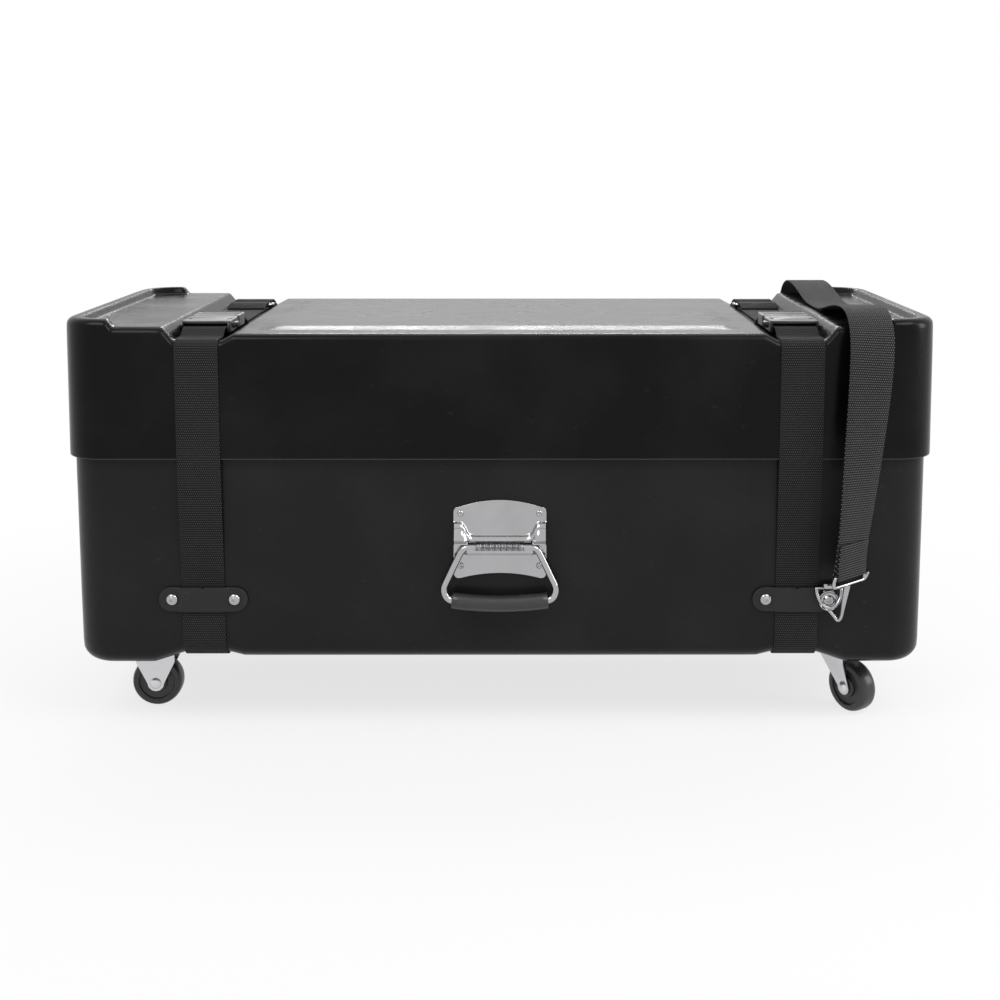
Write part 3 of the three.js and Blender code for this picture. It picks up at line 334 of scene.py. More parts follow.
class Value:
    def __init__(self, finish, socket):
        self.finish = finish
        self.socket = socket

    def maths(self, operation, first, second):
        return self.finish.node('ShaderNodeMath', {'operation': operation}, {0: first, 1: second})

    def __add__(self, other):
        return self.maths('ADD', self, other)

    def __radd__(self, other):
        return self.maths('ADD', other, self)

    def __sub__(self, other):
        return self.maths('SUBTRACT', self, other)

    def __rsub__(self, other):
        return self.maths('SUBTRACT', other, self)

    def __mul__(self, other):
        return self.maths('MULTIPLY', self, other)

    def __rmul__(self, other):
        return self.maths('MULTIPLY', other, self)

    def __truediv__(self, other):
        return self.maths('DIVIDE', self, other)

    def __pow__(self, other):
        return self.maths('POWER', self, other)

    def __mod__(self, other):
        return self.maths('MODULO', self, other)


class Finish:
    def __init__(self, owner, shader, fixed):  # its owner is a material or the world
        self.owner = owner
        owner.use_nodes = True
        self.tree = owner.node_tree
        self.shader = self.tree.nodes[shader]
        for socket, value in fixed.items():
            self.shader.inputs[socket].default_value = value

    def node(self, kind, settings, sockets, output=0):
        made = self.tree.nodes.new(kind)
        for key, value in settings.items():
            if key == 'stops':
                self.setStops(made.color_ramp, value)
            else:
                setattr(made, key, value)
        for key, value in sockets.items():
            self.feed(made.inputs[key], value)
        return Value(self, made.outputs[output])

    def setStops(self, ramp, stops):
        while len(ramp.elements) < len(stops):
            ramp.elements.new(0.5)
        for element, (place, level) in zip(ramp.elements, stops):
            element.position = place
            element.color = (level, level, level, 1)

    def feed(self, socket, value):
        if isinstance(value, Value):
            self.tree.links.new(value.socket, socket)
        else:
            socket.default_value = value

    def place(self):
        return self.node('ShaderNodeTexCoord', {}, {}, 'Object')

    def noise(self, scale, detail=4, stretch=None):
        where = self.place()
        if stretch:
            where = self.node('ShaderNodeMapping', {}, {'Vector': where, 'Scale': stretch})
        return self.node('ShaderNodeTexNoise', {}, {'Vector': where, 'Scale': scale, 'Detail': detail})

    def ramp(self, value, *stops):
        return self.node('ShaderNodeValToRGB', {'stops': stops}, {'Fac': value})

    def blendColours(self, share, first, second):
        return self.node('ShaderNodeMix', {'data_type': 'RGBA'}, {0: share, 6: first, 7: second}, 2)

    def greater(self, first, second):
        return self.node('ShaderNodeMath', {'operation': 'MAXIMUM'}, {0: first, 1: second})

    def rays(self, kind):
        return self.node('ShaderNodeLightPath', {}, {}, kind)

    def backgroundRays(self):  # what the camera, metal and glass see is the same white background
        mirrored = self.greater(self.rays('Is Glossy Ray'), self.rays('Is Transmission Ray'))
        return self.greater(self.rays('Is Camera Ray'), mirrored)

    def paint(self, socket, value):
        self.feed(self.shader.inputs[socket], value)

    def bump(self, height, distance, strength, under=None):
        sockets = {'Height': height, 'Distance': distance, 'Strength': strength}
        if under:
            sockets['Normal'] = under
        return self.node('ShaderNodeBump', {}, sockets)


def materialFinish(name, fixed):
    return Finish(bpy.data.materials.new(name), 'Principled BSDF', fixed)


def grey(level, blue=1.0):
    return (level, level, level * blue, 1)


# Finishes

def shellFinish(name, level, trimHeight=None):  # moulded polyethylene, pebbled, softly waved and rubbed
    skin = materialFinish(name, {'IOR': 1.5, 'Specular IOR Level': 0.12})
    waves = skin.noise(14, detail=2)
    rubbed = skin.ramp(skin.noise(9, detail=6, stretch=(1, 1.6, 1)), (0.42, 0), (0.72, 1))
    pebbles = skin.noise(620, detail=3)
    scratches = skin.ramp(skin.noise(70, detail=8, stretch=(1, 5, 1.6)), (0.66, 0), (0.74, 1))
    tone = rubbed * 0.005 + scratches * 0.006 + level
    if trimHeight:  # a paler line where the moulding was trimmed
        height = skin.node('ShaderNodeSeparateXYZ', {}, {'Vector': skin.place()}, 'Z')
        line = skin.ramp((height - trimHeight) * 400 + 0.5, (0.0, 0), (0.35, 1), (0.75, 1), (1.0, 0))
        tone = tone + line * 0.05
    skin.paint('Base Color', skin.blendColours(tone, grey(0.002), grey(1.0, 1.03)))
    skin.paint('Roughness', rubbed * 0.12 + pebbles * 0.06 + scratches * 0.08 + 0.19)
    low = skin.bump(waves, 1.1 * mm, 0.5)
    skin.paint('Normal', skin.bump(pebbles, 0.07 * mm, 0.45, low))
    return skin.owner


def webbingFinish(name, rows, columns, pale):  # ribbed weave on each strap's own UV map, in metres
    weave = materialFinish(name, {'IOR': 1.5, 'Specular IOR Level': 0.1, 'Sheen Weight': 0.04,
                                  'Sheen Roughness': 0.5})
    along = weave.node('ShaderNodeUVMap', {'uv_map': 'UVMap'}, {})
    across = weave.node('ShaderNodeSeparateXYZ', {}, {'Vector': along}, 'X')
    down = weave.node('ShaderNodeSeparateXYZ', {}, {'Vector': along}, 'Y')
    row = down / rows + 1000
    rib = row % 1.0
    shift = ((row - rib) % 2.0) * 0.5
    column = (across / columns + 1000 + shift) % 1.0
    ribBulge = 1 - (rib * 2 - 1) ** 2
    yarnBulge = 1 - (column * 2 - 1) ** 2
    knuckle = ribBulge * yarnBulge
    fibres = weave.noise(900, detail=3)
    fade = weave.noise(22, detail=4)
    # The raised yarn crests are painted paler by pale, as a painted sheen on the weave. The fibres and fading
    # are the webbing's own tone.
    tone = knuckle ** 3.0 * pale + fibres * 0.004 + fade * 0.006 + 0.001
    weave.paint('Base Color', weave.blendColours(tone, grey(0.002), grey(1.0, 1.03)))
    weave.paint('Roughness', 0.62 + fade * 0.2)
    weave.paint('Normal', weave.bump(knuckle + fibres * 0.3, 0.5 * mm, 0.9))
    return weave.owner


def mouldedFinish(name, level, roughness, grain, depth, gloss=0.0):  # black plastic, vinyl and rubber
    plastic = materialFinish(name, {'IOR': 1.5, 'Specular IOR Level': 0.3, 'Coat Weight': gloss,
                                    'Coat Roughness': 0.2})
    pebbles = plastic.noise(grain, detail=4)
    marks = plastic.ramp(plastic.noise(60, detail=7, stretch=(1, 4, 2)), (0.6, 0), (0.7, 1))
    cloud = plastic.noise(30, detail=3)
    plastic.paint('Base Color', plastic.blendColours(cloud * level * 0.6 + marks * 0.012 + level * 0.7,
                                                     grey(0.001), grey(1.0, 1.02)))
    plastic.paint('Roughness', pebbles * 0.1 + marks * 0.12 + cloud * 0.08 + roughness)
    plastic.paint('Normal', plastic.bump(pebbles, depth, 0.5))
    return plastic.owner


def metalFinish(name, level, roughness, brush, stretch):  # plated steel, finely drawn and dull in spots
    metal = materialFinish(name, {'Metallic': 1.0})
    drawn = metal.noise(brush, detail=6, stretch=stretch)
    spots = metal.ramp(metal.noise(160, detail=6), (0.55, 0), (0.75, 1))
    cloud = metal.noise(35, detail=4)
    metal.paint('Base Color', metal.blendColours(cloud * 0.1 + level, grey(0.0), grey(1.0, 1.02)))
    metal.paint('Roughness', drawn * 0.06 + spots * 0.08 + cloud * 0.05 + roughness)
    metal.paint('Normal', metal.bump(drawn, 0.008 * mm, 0.15))
    return metal.owner


lidSkin = shellFinish('lidPolyethylene', level=0.0, trimHeight=333 * mm)
tubSkin = shellFinish('tubPolyethylene', level=0.01)
# pale sets each webbing's painted sheen on its yarn crests.
strapWeave = webbingFinish('strapWebbing', rows=2.8 * mm, columns=2.3 * mm, pale=0.06)
towWeave = webbingFinish('towWebbing', rows=2.8 * mm, columns=2.4 * mm, pale=0.13)
buckleAcetal = mouldedFinish('buckleAcetal', level=0.012, roughness=0.2, grain=700, depth=0.02 * mm,
                             gloss=0.4)
retainerVinyl = mouldedFinish('retainerVinyl', level=0.012, roughness=0.42, grain=380, depth=0.15 * mm)
gripVinyl = mouldedFinish('gripVinyl', level=0.02, roughness=0.34, grain=420, depth=0.06 * mm, gloss=0.5)
wheelRubber = mouldedFinish('wheelRubber', level=0.03, roughness=0.36, grain=300, depth=0.08 * mm,
                            gloss=0.3)
# The chrome's colour is set darker than plated chrome's own. This is partly the metal's colour and partly
# painted shade for the dark surroundings its flats reflect.
platedChrome = metalFinish('platedChrome', level=0.36, roughness=0.08, brush=240, stretch=(1, 1, 8))
zincPlate = metalFinish('zincPlate', level=0.6, roughness=0.3, brush=180, stretch=(1, 1, 6))
# The coil's steel is darker than bare steel. This is partly the steel's own tone and partly painted shade for
# the recess under the hood's ridge.
springSteel = metalFinish('springSteel', level=0.22, roughness=0.22, brush=300, stretch=(6, 1, 1))
print('finishes made')


# Lid and tub, built as thin moulded shells

lid = {
    'length': 1033 * mm,
    'depth': 383 * mm,
    'draft': 1 * mm,
    'wall': 5 * mm,
    'cornerRadius': 50 * mm,
    'edgeRadius': 10 * mm,
    'edgeSteps': 5,
    'rim': 333 * mm,
    'panel': 481 * mm,
    'fieldHalfLength': 290 * mm,
    'fieldHalfDepth': 153 * mm,
    'fieldBevel': 22 * mm,
    'fieldRaise': 2.5 * mm,
    'channelSlopeStart': 310 * mm,
    'channelInner': 325 * mm,
    'channelOuter': 381 * mm,
    'padStart': 394 * mm,
    'channelDepth': 8 * mm,
    'padRise': 8 * mm,
    'ridgeRise': 9 * mm,
    'ridgeArmStart': 451.5 * mm,
    'ridgeArmEnd': 458.5 * mm,
    'ridgeWidth': 18 * mm,
    'ridgeSlope': 6 * mm,
    'ridgeCuts': (-2, 0, 2, 4, 6, 8),  # rings round the top, in millimetres from the ridge's width
    'support': 2.5 * mm,  # spacing of the cuts that keep each change of slope firm
    'rowReach': 330 * mm,  # cuts along the field go this far out
}

tub = {
    'length': 1022 * mm,
    'depth': 372 * mm,
    'wall': 5 * mm,
    'cornerRadius': 44.5 * mm,
    'edgeRadius': 22 * mm,
    'edgeSteps': 6,
    'rim': 467.7 * mm,
    'foot': 78 * mm,
    'middleRise': 7.7 * mm,
    'grooveRise': 12 * mm,
    'grooveStart': 308 * mm,
    'grooveInner': 325 * mm,
    'grooveOuter': 381 * mm,
    'footStart': 417 * mm,
    'footInset': 2 * mm,
    'support': 3 * mm,
}

rimBand = 1.5 * mm  # height of the band that keeps each rim sharp


def insetOf(place, sizes):  # distance of a point in from the rounded outline
    radius = sizes['cornerRadius']
    x = abs(place.x) - (sizes['length'] / 2 - radius)
    y = abs(place.y) - (sizes['depth'] / 2 - radius)
    if x > 0 and y > 0:
        return radius - math.hypot(x, y)
    return radius - max(x, y)


def shiftLevels(piece, levelAt, move):  # moves every vertex by its own share of the move, level by level
    levels = {}
    for vert in bmesh.from_edit_mesh(piece.data).verts:
        level = levelAt(vert.co)
        if level:
            levels.setdefault(level, set()).add(vert.index)
    for level, members in levels.items():
        choose(piece, 'VERT', lambda vert: vert.index in members)
        bpy.ops.transform.translate(value=[level * step for step in move])


def cutAcross(piece, axis, places, test=None):  # cuts the faces that pass the test, on both sides
    for place in sorted([*places, *[-place for place in places]]):
        choose(piece, 'FACE', test or (lambda face: True))
        point = [place if letter == axis else 0 for letter in 'xyz']
        normal = [1 if letter == axis else 0 for letter in 'xyz']
        bpy.ops.mesh.bisect(plane_co=point, plane_no=normal)


def startShell(name, sizes, low, high):
    halfLength = sizes['length'] / 2
    halfDepth = sizes['depth'] / 2
    shell = startBox(name, (-halfLength, -halfDepth, low), (halfLength, halfDepth, high))
    startEdit(shell)
    choose(shell, 'EDGE', isUpright)
    bpy.ops.mesh.bevel(offset=sizes['cornerRadius'], segments=12, affect='EDGES')
    return shell


def roundShell(shell, sizes, height):  # rounds the long edges round the shell at this height
    choose(shell, 'EDGE', lambda edge: abs(edgeMiddle(edge).z - height) < mm and isLevel(edge))
    bpy.ops.mesh.bevel(offset=sizes['edgeRadius'], segments=sizes['edgeSteps'], affect='EDGES')


def bandShell(height):  # cuts a narrow band off along the rim, inside edit mode
    bpy.ops.mesh.select_all(action='SELECT')
    bpy.ops.mesh.bisect(plane_co=(0, 0, height), plane_no=(0, 0, 1))


def finishShell(shell, sizes):
    bpy.ops.mesh.select_all(action='SELECT')
    bpy.ops.mesh.remove_doubles(threshold=0.01 * mm)
    bpy.ops.mesh.normals_make_consistent(inside=False)
    endEdit()
    addModifier(shell, 'SOLIDIFY', {'thickness': sizes['wall'], 'offset': -1, 'use_even_offset': True,
                                    'edge_crease_inner': 0.8, 'edge_crease_outer': 0.8,
                                    'edge_crease_rim': 0.0})
    addModifier(shell, 'SUBSURF', {'levels': 1, 'render_levels': 1})
    smoothShade(shell, 60)


def around(creases, support):
    return [place + step * support for place in creases for step in (-1, 0, 1)]


def lidHeight(place):  # how far the top stands above the plain panel
    x = abs(place.x)
    field = min(ramp(lid['fieldHalfLength'] - x, 0, lid['fieldBevel']),
                ramp(lid['fieldHalfDepth'] - abs(place.y), 0, lid['fieldBevel']))
    into = ramp(x, lid['channelSlopeStart'], lid['channelInner'])
    out = ramp(x, lid['channelOuter'], lid['padStart'])
    arm = ramp(x, lid['ridgeArmStart'], lid['ridgeArmEnd'])
    ridge = ramp(lid['ridgeWidth'] + lid['ridgeSlope'] - insetOf(place, lid), 0, lid['ridgeSlope'])
    channel = -lid['channelDepth'] * into + (lid['channelDepth'] + lid['padRise']) * out
    return lid['fieldRaise'] * field + channel + lid['ridgeRise'] * arm * ridge


def makeLidShell():
    shell = startShell('lidShell', lid, lid['rim'], lid['panel'])
    stretch = [1 + 2 * lid['draft'] / lid[side] for side in ('length', 'depth')]
    choose(shell, 'VERT', lambda vert: vert.co.z < lid['rim'] + mm)
    bpy.ops.transform.resize(value=(*stretch, 1), center_override=(0, 0, 0))
    choose(shell, 'FACE', facesDown)
    bpy.ops.mesh.delete(type='FACE')
    roundShell(shell, lid, lid['panel'])
    choose(shell, 'FACE', facesUp)
    inset = lid['edgeRadius']
    for reach in lid['ridgeCuts']:
        step = lid['ridgeWidth'] + reach * mm - inset
        bpy.ops.mesh.inset(thickness=step)
        inset += step
    bandShell(lid['rim'] + rimBand)
    creases = [lid['fieldHalfLength'] - lid['fieldBevel'], lid['fieldHalfLength']]
    creases += [lid[crease] for crease in ('channelSlopeStart', 'channelInner', 'channelOuter', 'padStart',
                                           'ridgeArmStart', 'ridgeArmEnd')]
    cutAcross(shell, 'x', around(creases, lid['support']))
    rows = [lid['fieldHalfDepth'] - lid['fieldBevel'], lid['fieldHalfDepth']]
    cutAcross(shell, 'y', around(rows, lid['support']),
              lambda face: facesUp(face) and abs(face.calc_center_median().x) < lid['rowReach'])
    lowest = lid['panel'] - lid['edgeRadius'] - 0.1 * mm
    shiftLevels(shell, lambda place: round(lidHeight(place), 7) if place.z > lowest else 0, (0, 0, 1))
    finishShell(shell, lid)
    return shell


def tubHeight(place):  # how far the underside stands above the feet
    x = abs(place.x)
    into = ramp(x, tub['grooveStart'], tub['grooveInner'])
    out = ramp(x, tub['grooveOuter'], tub['footStart'])
    return tub['middleRise'] + (tub['grooveRise'] - tub['middleRise']) * into - tub['grooveRise'] * out


def makeTubShell():
    shell = startShell('tubShell', tub, tub['foot'], tub['rim'])
    choose(shell, 'FACE', facesUp)
    bpy.ops.mesh.delete(type='FACE')
    roundShell(shell, tub, tub['foot'])
    choose(shell, 'FACE', facesDown)
    bpy.ops.mesh.inset(thickness=tub['footInset'])
    bandShell(tub['rim'] - rimBand)
    creases = [tub[crease] for crease in ('grooveStart', 'grooveInner', 'grooveOuter', 'footStart')]
    cutAcross(shell, 'x', around(creases, tub['support']))
    highest = tub['foot'] + tub['edgeRadius'] + 0.1 * mm
    shiftLevels(shell, lambda place: round(tubHeight(place), 7) if place.z < highest else 0, (0, 0, 1))
    finishShell(shell, tub)
    return shell


dress(makeLidShell(), lidSkin, 'lid_shell')
dress(makeTubShell(), tubSkin, 'base_shell')
print('shells moulded')


# Webbing

webbing = {
    'width': 50.8 * mm,
    'thickness': 1.8 * mm,
    'edge': 0.45 * mm,
    'channelCentre': 353 * mm,
    'runs': {  # each run's middle line as (y, z), and the radius of each of its bends, in millimetres
        'front': ([(-187.2, 176), (-193.7, 333), (-192.7, 474.2), (-160.5, 474.2), (-148.5, 482.9),
                   (-131.8, 482.9)], [12, 11.2, 12, 12]),
        'back': ([(187.2, 176), (193.7, 333), (192.7, 474.2), (142.3, 474.2), (142.3, 481.6), (163, 481.6),
                  (180, 476.3)], [12, 11.2, 3.7, 3.7, 12]),
        'top': ([(-57.9, 482.9), (-41.2, 482.9), (-17.2, 474.2), (132.7, 474.2), (132.7, 481.6), (112, 481.6),
                 (95, 476.3)], [12, 12, 3.7, 3.7, 12]),
        'under': ([(-187.2, 176), (-187.2, 88.8), (187.2, 88.8), (187.2, 176)], [23.2, 23.2]),
    },
}


def roundLine(points, radii, steps=6):  # rounds the corners of an open line of (y, z) points
    line = [Vector(points[0])]
    for before, corner, after, radius in zip(points, points[1:], points[2:], radii):
        corner = Vector(corner)
        toBefore = Vector(before) - corner
        toAfter = Vector(after) - corner
        half = toBefore.angle(toAfter) / 2
        reach = min(radius / math.tan(half), toBefore.length / 2, toAfter.length / 2)
        radius = reach * math.tan(half)
        inward = (toBefore.normalized() + toAfter.normalized()).normalized()
        centre = corner + inward * reach / math.cos(half)
        start = corner + toBefore.normalized() * reach - centre
        end = corner + toAfter.normalized() * reach - centre
        for step in range(steps + 1):
            share = step / steps
            spoke = (start * (1 - share) + end * share).normalized() * radius
            line.append(centre + spoke)
    line.append(Vector(points[-1]))
    return line


def layWebbing(name, centres, acrosses):  # a strap laid along its middle line
    width = webbing['width']
    steps = len(centres) - 1
    bpy.ops.object.select_all(action='DESELECT')
    bpy.ops.mesh.primitive_grid_add(x_subdivisions=4, y_subdivisions=steps, size=1)
    strap = bpy.context.object
    strap.name = name
    runs = [0]
    for first, second in zip(centres, centres[1:]):
        runs.append(runs[-1] + (second - first).length)
    uvs = strap.data.uv_layers.active.data
    for loop in strap.data.loops:
        place = strap.data.vertices[loop.vertex_index].co
        uvs[loop.index].uv = ((place.x + 0.5) * width, runs[round((place.y + 0.5) * steps)])
    for vert in strap.data.vertices:
        row = round((vert.co.y + 0.5) * steps)
        vert.co = centres[row] + acrosses[row] * vert.co.x * width
    addModifier(strap, 'SOLIDIFY', {'thickness': webbing['thickness'], 'offset': 0, 'use_even_offset': True})
    roundEdges(strap, webbing['edge'], 2, 60)
    smoothShade(strap, 50)
    return strap


def makeBodyStraps():
    for word, side in sides:
        for run, (points, radii) in webbing['runs'].items():
            line = roundLine(fromMillimetres(points), [radius * mm for radius in radii])
            centres = [Vector((side * webbing['channelCentre'], y, z)) for y, z in line]
            acrosses = [Vector((1, 0, 0))] * len(centres)
            strap = layWebbing(word + 'Strap' + run.capitalize(), centres, acrosses)
            dress(strap, strapWeave, word + '_strap_' + run)


towStrap = {
    'stations': [  # front half of its middle line: X, Y, Z in millimetres, and its twist in degrees
        (429, 0, 491.6, 0), (429, -35, 492.6, 0), (429, -70, 498, 0), (429, -105, 504.5, 0),
        (429, -140, 508.5, 0), (429, -172, 507.5, 0), (428.5, -196, 498.5, 0), (428, -210, 482, 1),
        (427, -217, 458, 3), (425.5, -219, 430, 6), (424, -218, 398, 11), (422, -215.5, 362, 16),
        (420, -212.5, 324, 22), (417.5, -210, 286, 28), (414.5, -208.5, 250, 33), (411, -208, 222, 36),
        (411, -208, 201.6, 38)],
}


def smoothStations(stations, steps):  # extra stations on a smooth curve through the given ones
    made = []
    last = len(stations) - 1
    for index in range(last):
        before, first, second, after = [stations[min(max(index + step, 0), last)] for step in (-1, 0, 1, 2)]
        for step in range(steps):
            share = step / steps
            square = share * share
            cube = square * share
            made.append([0.5 * (2 * b + (c - a) * share + (2 * a - 5 * b + 4 * c - d) * square
                                + (3 * b - a - 3 * c + d) * cube)
                         for a, b, c, d in zip(before, first, second, after)])
    made.append(list(stations[-1]))
    return made


def makeTowStrap():
    front = towStrap['stations']
    rear = [(x, -y, z, -twist) for x, y, z, twist in front[:0:-1]]
    stations = smoothStations([*rear, *front], 4)
    centres = [Vector((x, y, z)) * mm for x, y, z, twist in stations]
    acrosses = []
    for index, (x, y, z, twist) in enumerate(stations):
        along = (centres[min(index + 1, len(centres) - 1)] - centres[max(index - 1, 0)]).normalized()
        turn = math.radians(twist)
        across = Vector((math.cos(turn), math.sin(turn), 0))
        acrosses.append((across - along * across.dot(along)).normalized())
    strap = layWebbing('towStrap', centres, acrosses)
    coat(strap, towWeave)
    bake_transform(strap)
    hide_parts('tow_strap')


makeBodyStraps()
makeTowStrap()
print('webbing laid')


# Side-release buckles

buckle = {
    'centre': 353 * mm,
    'bottom': 475.4 * mm,
    'top': 490.4 * mm,
    'middle': 482.9 * mm,
    'halfWidth': 29 * mm,
    'corner': 8 * mm,
    'edge': 1.5 * mm,
    'socketFront': -142.5 * mm,
    'mouth': -90.5 * mm,
    'plugFront': -90.2 * mm,
    'plugBack': -47.2 * mm,
    'faceRim': 0.4 * mm,
    'cutEdge': 0.35 * mm,
    'spare': 2 * mm,  # how far each cutter stands past what it cuts
    'cavityHalf': 4.2 * mm,
    'cavityHalfWidth': 27 * mm,
    'cavityDepth': 38 * mm,
    'windowSetback': 12 * mm,
    'windowLength': 24 * mm,
    'windowHalfWidth': 31 * mm,
    'pocketDepth': 11 * mm,
    'pocketHalf': 25.9 * mm,
    'plate': 3.4 * mm,  # left over the webbing where it goes in
    'holeRadius': 3 * mm,
    'holeLength': 8 * mm,
    'holeReach': 23.6 * mm,
    'holeSetback': 23 * mm,
    'tongueHalf': 6.5 * mm,
    'tongueHalfHeight': 3.8 * mm,
    'tongueLength': 32 * mm,
    'tongueEdge': 1.2 * mm,
    'slots': [(-77, -71.5), (-58, -51)],  # ladder slots, in millimetres along the case's depth
    'slotFloor': 5 * mm,
}

button = {
    'outline': [  # across, and back from the plug's front, in millimetres
        (18.2, -0.3), (19.8, -0.3), (21.5, -4), (21.5, -14), (29, -14), (33, -19), (32, -29), (22.8, -34),
        (16.5, -34), (16.5, -4)],
    'halfHeight': 3.5 * mm,
    'edge': 0.7 * mm,
    'ribCount': 4,
    'ribPlace': (33, -19.5),  # the first rib's, measured as the outline is
    'ribStep': (-0.1, -2.8),
    'ribRadius': 1.1 * mm,
    'ribLength': 6.2 * mm,
    'ribEdge': 0.4 * mm,
}


def buckleBlock(name, front, back):
    half = buckle['halfWidth']
    block = startBox(name, (-half, front, buckle['bottom']), (half, back, buckle['top']))
    startEdit(block)
    choose(block, 'EDGE', isUpright)
    bpy.ops.mesh.bevel(offset=buckle['corner'], segments=6, affect='EDGES')
    endEdit()
    roundEdges(block, buckle['edge'], 3, 60)
    startEdit(block)
    choose(block, 'FACE', lambda face: facesUp(face) or facesDown(face))
    bpy.ops.mesh.inset(thickness=buckle['faceRim'])
    endEdit()
    return block


def buckleCutter(half, front, back, low, high):
    return startBox('cutter', (-half, front, low), (half, back, high))


def makeSocket():
    front = buckle['socketFront']
    mouth = buckle['mouth']
    spare = buckle['spare']
    low = buckle['middle'] - buckle['cavityHalf']
    high = buckle['middle'] + buckle['cavityHalf']
    window = mouth - buckle['windowSetback']
    socket = buckleBlock('buckleSocket', front, mouth)
    cutAway(socket, [
        buckleCutter(buckle['cavityHalfWidth'], mouth - buckle['cavityDepth'], mouth + spare, low, high),
        buckleCutter(buckle['windowHalfWidth'], window - buckle['windowLength'], window, low, high),
        buckleCutter(buckle['pocketHalf'], front - spare, front + buckle['pocketDepth'],
                     buckle['bottom'] - spare, buckle['top'] - buckle['plate']),
        *[startRod('cutter', 'z', buckle['holeRadius'], buckle['holeLength'],
                   (side * buckle['holeReach'], front + buckle['holeSetback'], buckle['top'] + mm))
          for side in (-1, 1)],
    ])
    roundEdges(socket, buckle['cutEdge'], 2, 40)
    smoothShade(socket, 40)
    return socket


def makePlug():
    front = buckle['plugFront']
    back = buckle['plugBack']
    pocket = buckle['pocketHalf']
    spare = buckle['spare']
    plug = buckleBlock('bucklePlug', front, back)
    slots = [buckleCutter(pocket, start * mm, end * mm, buckle['bottom'] + buckle['slotFloor'],
                          buckle['top'] + spare) for start, end in buckle['slots']]
    cutAway(plug, [buckleCutter(pocket, back - buckle['pocketDepth'], back + spare, buckle['bottom'] - spare,
                                buckle['top'] - buckle['plate']), *slots])
    tongue = startBox('buckleTongue',
                      (-buckle['tongueHalf'], front - buckle['tongueLength'],
                       buckle['middle'] - buckle['tongueHalfHeight']),
                      (buckle['tongueHalf'], front + mm, buckle['middle'] + buckle['tongueHalfHeight']))
    roundEdges(tongue, buckle['tongueEdge'], 3, 40)
    roundEdges(plug, buckle['cutEdge'], 2, 40)
    smoothShade(plug, 40)
    smoothShade(tongue, 40)
    return joinPieces('bucklePlug', [plug, tongue])


def makeButton():  # the squeeze arm on the high side, drawn about the buckle's middle line
    level = buckle['middle'] - button['halfHeight']
    points = [(x * mm, buckle['plugFront'] + y * mm, level) for x, y in button['outline']]
    arm = startSheet('buckleButton', points, (0, 0, 2 * button['halfHeight']))
    roundEdges(arm, button['edge'], 3, 20)
    (x, y), (stepX, stepY) = button['ribPlace'], button['ribStep']
    ribs = []
    for index in range(button['ribCount']):
        place = ((x + stepX * index) * mm, buckle['plugFront'] + (y + stepY * index) * mm, buckle['middle'])
        ribs.append(startRod('buttonRib', 'z', button['ribRadius'], button['ribLength'], place, 12))
    for rib in ribs:
        roundEdges(rib, button['ribEdge'], 2, 40)
    whole = joinPieces('buckleButton', [arm, *ribs])
    smoothShade(whole, 40)
    return whole


def makeBuckles():
    socket = makeSocket()
    plug = makePlug()
    high = makeButton()
    low = mirroredCopy(high, 'buckleButtonLow', 'x')
    for word, side in sides:
        move = (side * buckle['centre'], 0, 0)
        dress(movedCopy(socket, word + 'Socket', move), buckleAcetal, word + '_buckle_socket')
        dress(movedCopy(plug, word + 'Plug', move), buckleAcetal, word + '_buckle_plug')
        outer, inner = (high, low) if side > 0 else (low, high)
        for place, shape in (('outer', outer), ('inner', inner)):
            squeezed = movedCopy(shape, word + place.capitalize() + 'Button', move)
            dress(squeezed, buckleAcetal, word + '_buckle_' + place + '_button')
    dropPieces([socket, plug, high, low])


# Steel loops that join each strap's two top runs

loops = {
    'centreY': 137.5 * mm,
    'height': 477.9 * mm,
    'halfPitch': 8.5 * mm,
    'halfWidth': 28.2 * mm,
    'corner': 4.5 * mm,
    'wire': 2.5 * mm,
}


def roundRing(points, radius, steps=5):  # a closed line with its corners rounded
    seam = (Vector(points[-1]) + Vector(points[0])) / 2
    wrapped = [seam, *points, seam]
    line = roundLine(wrapped, [radius] * len(points), steps)
    return line[:-1]


def makeLoops():
    for word, side in sides:
        x = side * webbing['channelCentre']
        corners = [(x + across * loops['halfWidth'], loops['centreY'] + along * loops['halfPitch'],
                    loops['height']) for across, along in ((-1, -1), (1, -1), (1, 1), (-1, 1))]
        ring = bendWire(word + 'Loop', roundRing(corners, loops['corner']), loops['wire'], closed=True)
        dress(ring, platedChrome, word + '_strap_loop')


makeBuckles()
makeLoops()
print('buckles and loops made')


# Retainers and rivets

retainer = {
    'centre': 353 * mm,
    'height': 162.5 * mm,
    'halfLength': 53 * mm,
    'halfHeight': 15 * mm,
    'trim': 0.3 * mm,  # taken off that height
    'thickness': 3 * mm,
    'face': 186.3 * mm,  # its back, out from the middle of the case
    'lift': 2.1 * mm,  # over the webbing
    'flat': 25.7 * mm,
    'foot': 29.7 * mm,
    'cuts': (24.7, 25.7, 27.7, 29.7, 30.7),  # where it is cut to bend over the webbing, in millimetres
    'rivetSpread': 37 * mm,
    'notch': 2.2 * mm,
    'faceRim': 1.3 * mm,
    'edge': 0.8 * mm,
}

rivet = {
    'radius': 7 * mm,
    'rise': 3 * mm,
    'hole': 1.7 * mm,
    'shank': 3 * mm,
    'backRadius': 6 * mm,
    'backRise': 1.6 * mm,
    'face': 186 * mm,  # the tub's front, out from the middle of the case
    'stack': 3.6 * mm,  # what it clamps, in front of that face
    'clipStack': 6.5 * mm,  # the same where it also holds the tow ring's clip
    'grip': 8.9 * mm,
    'clipGrip': 11.8 * mm,
}


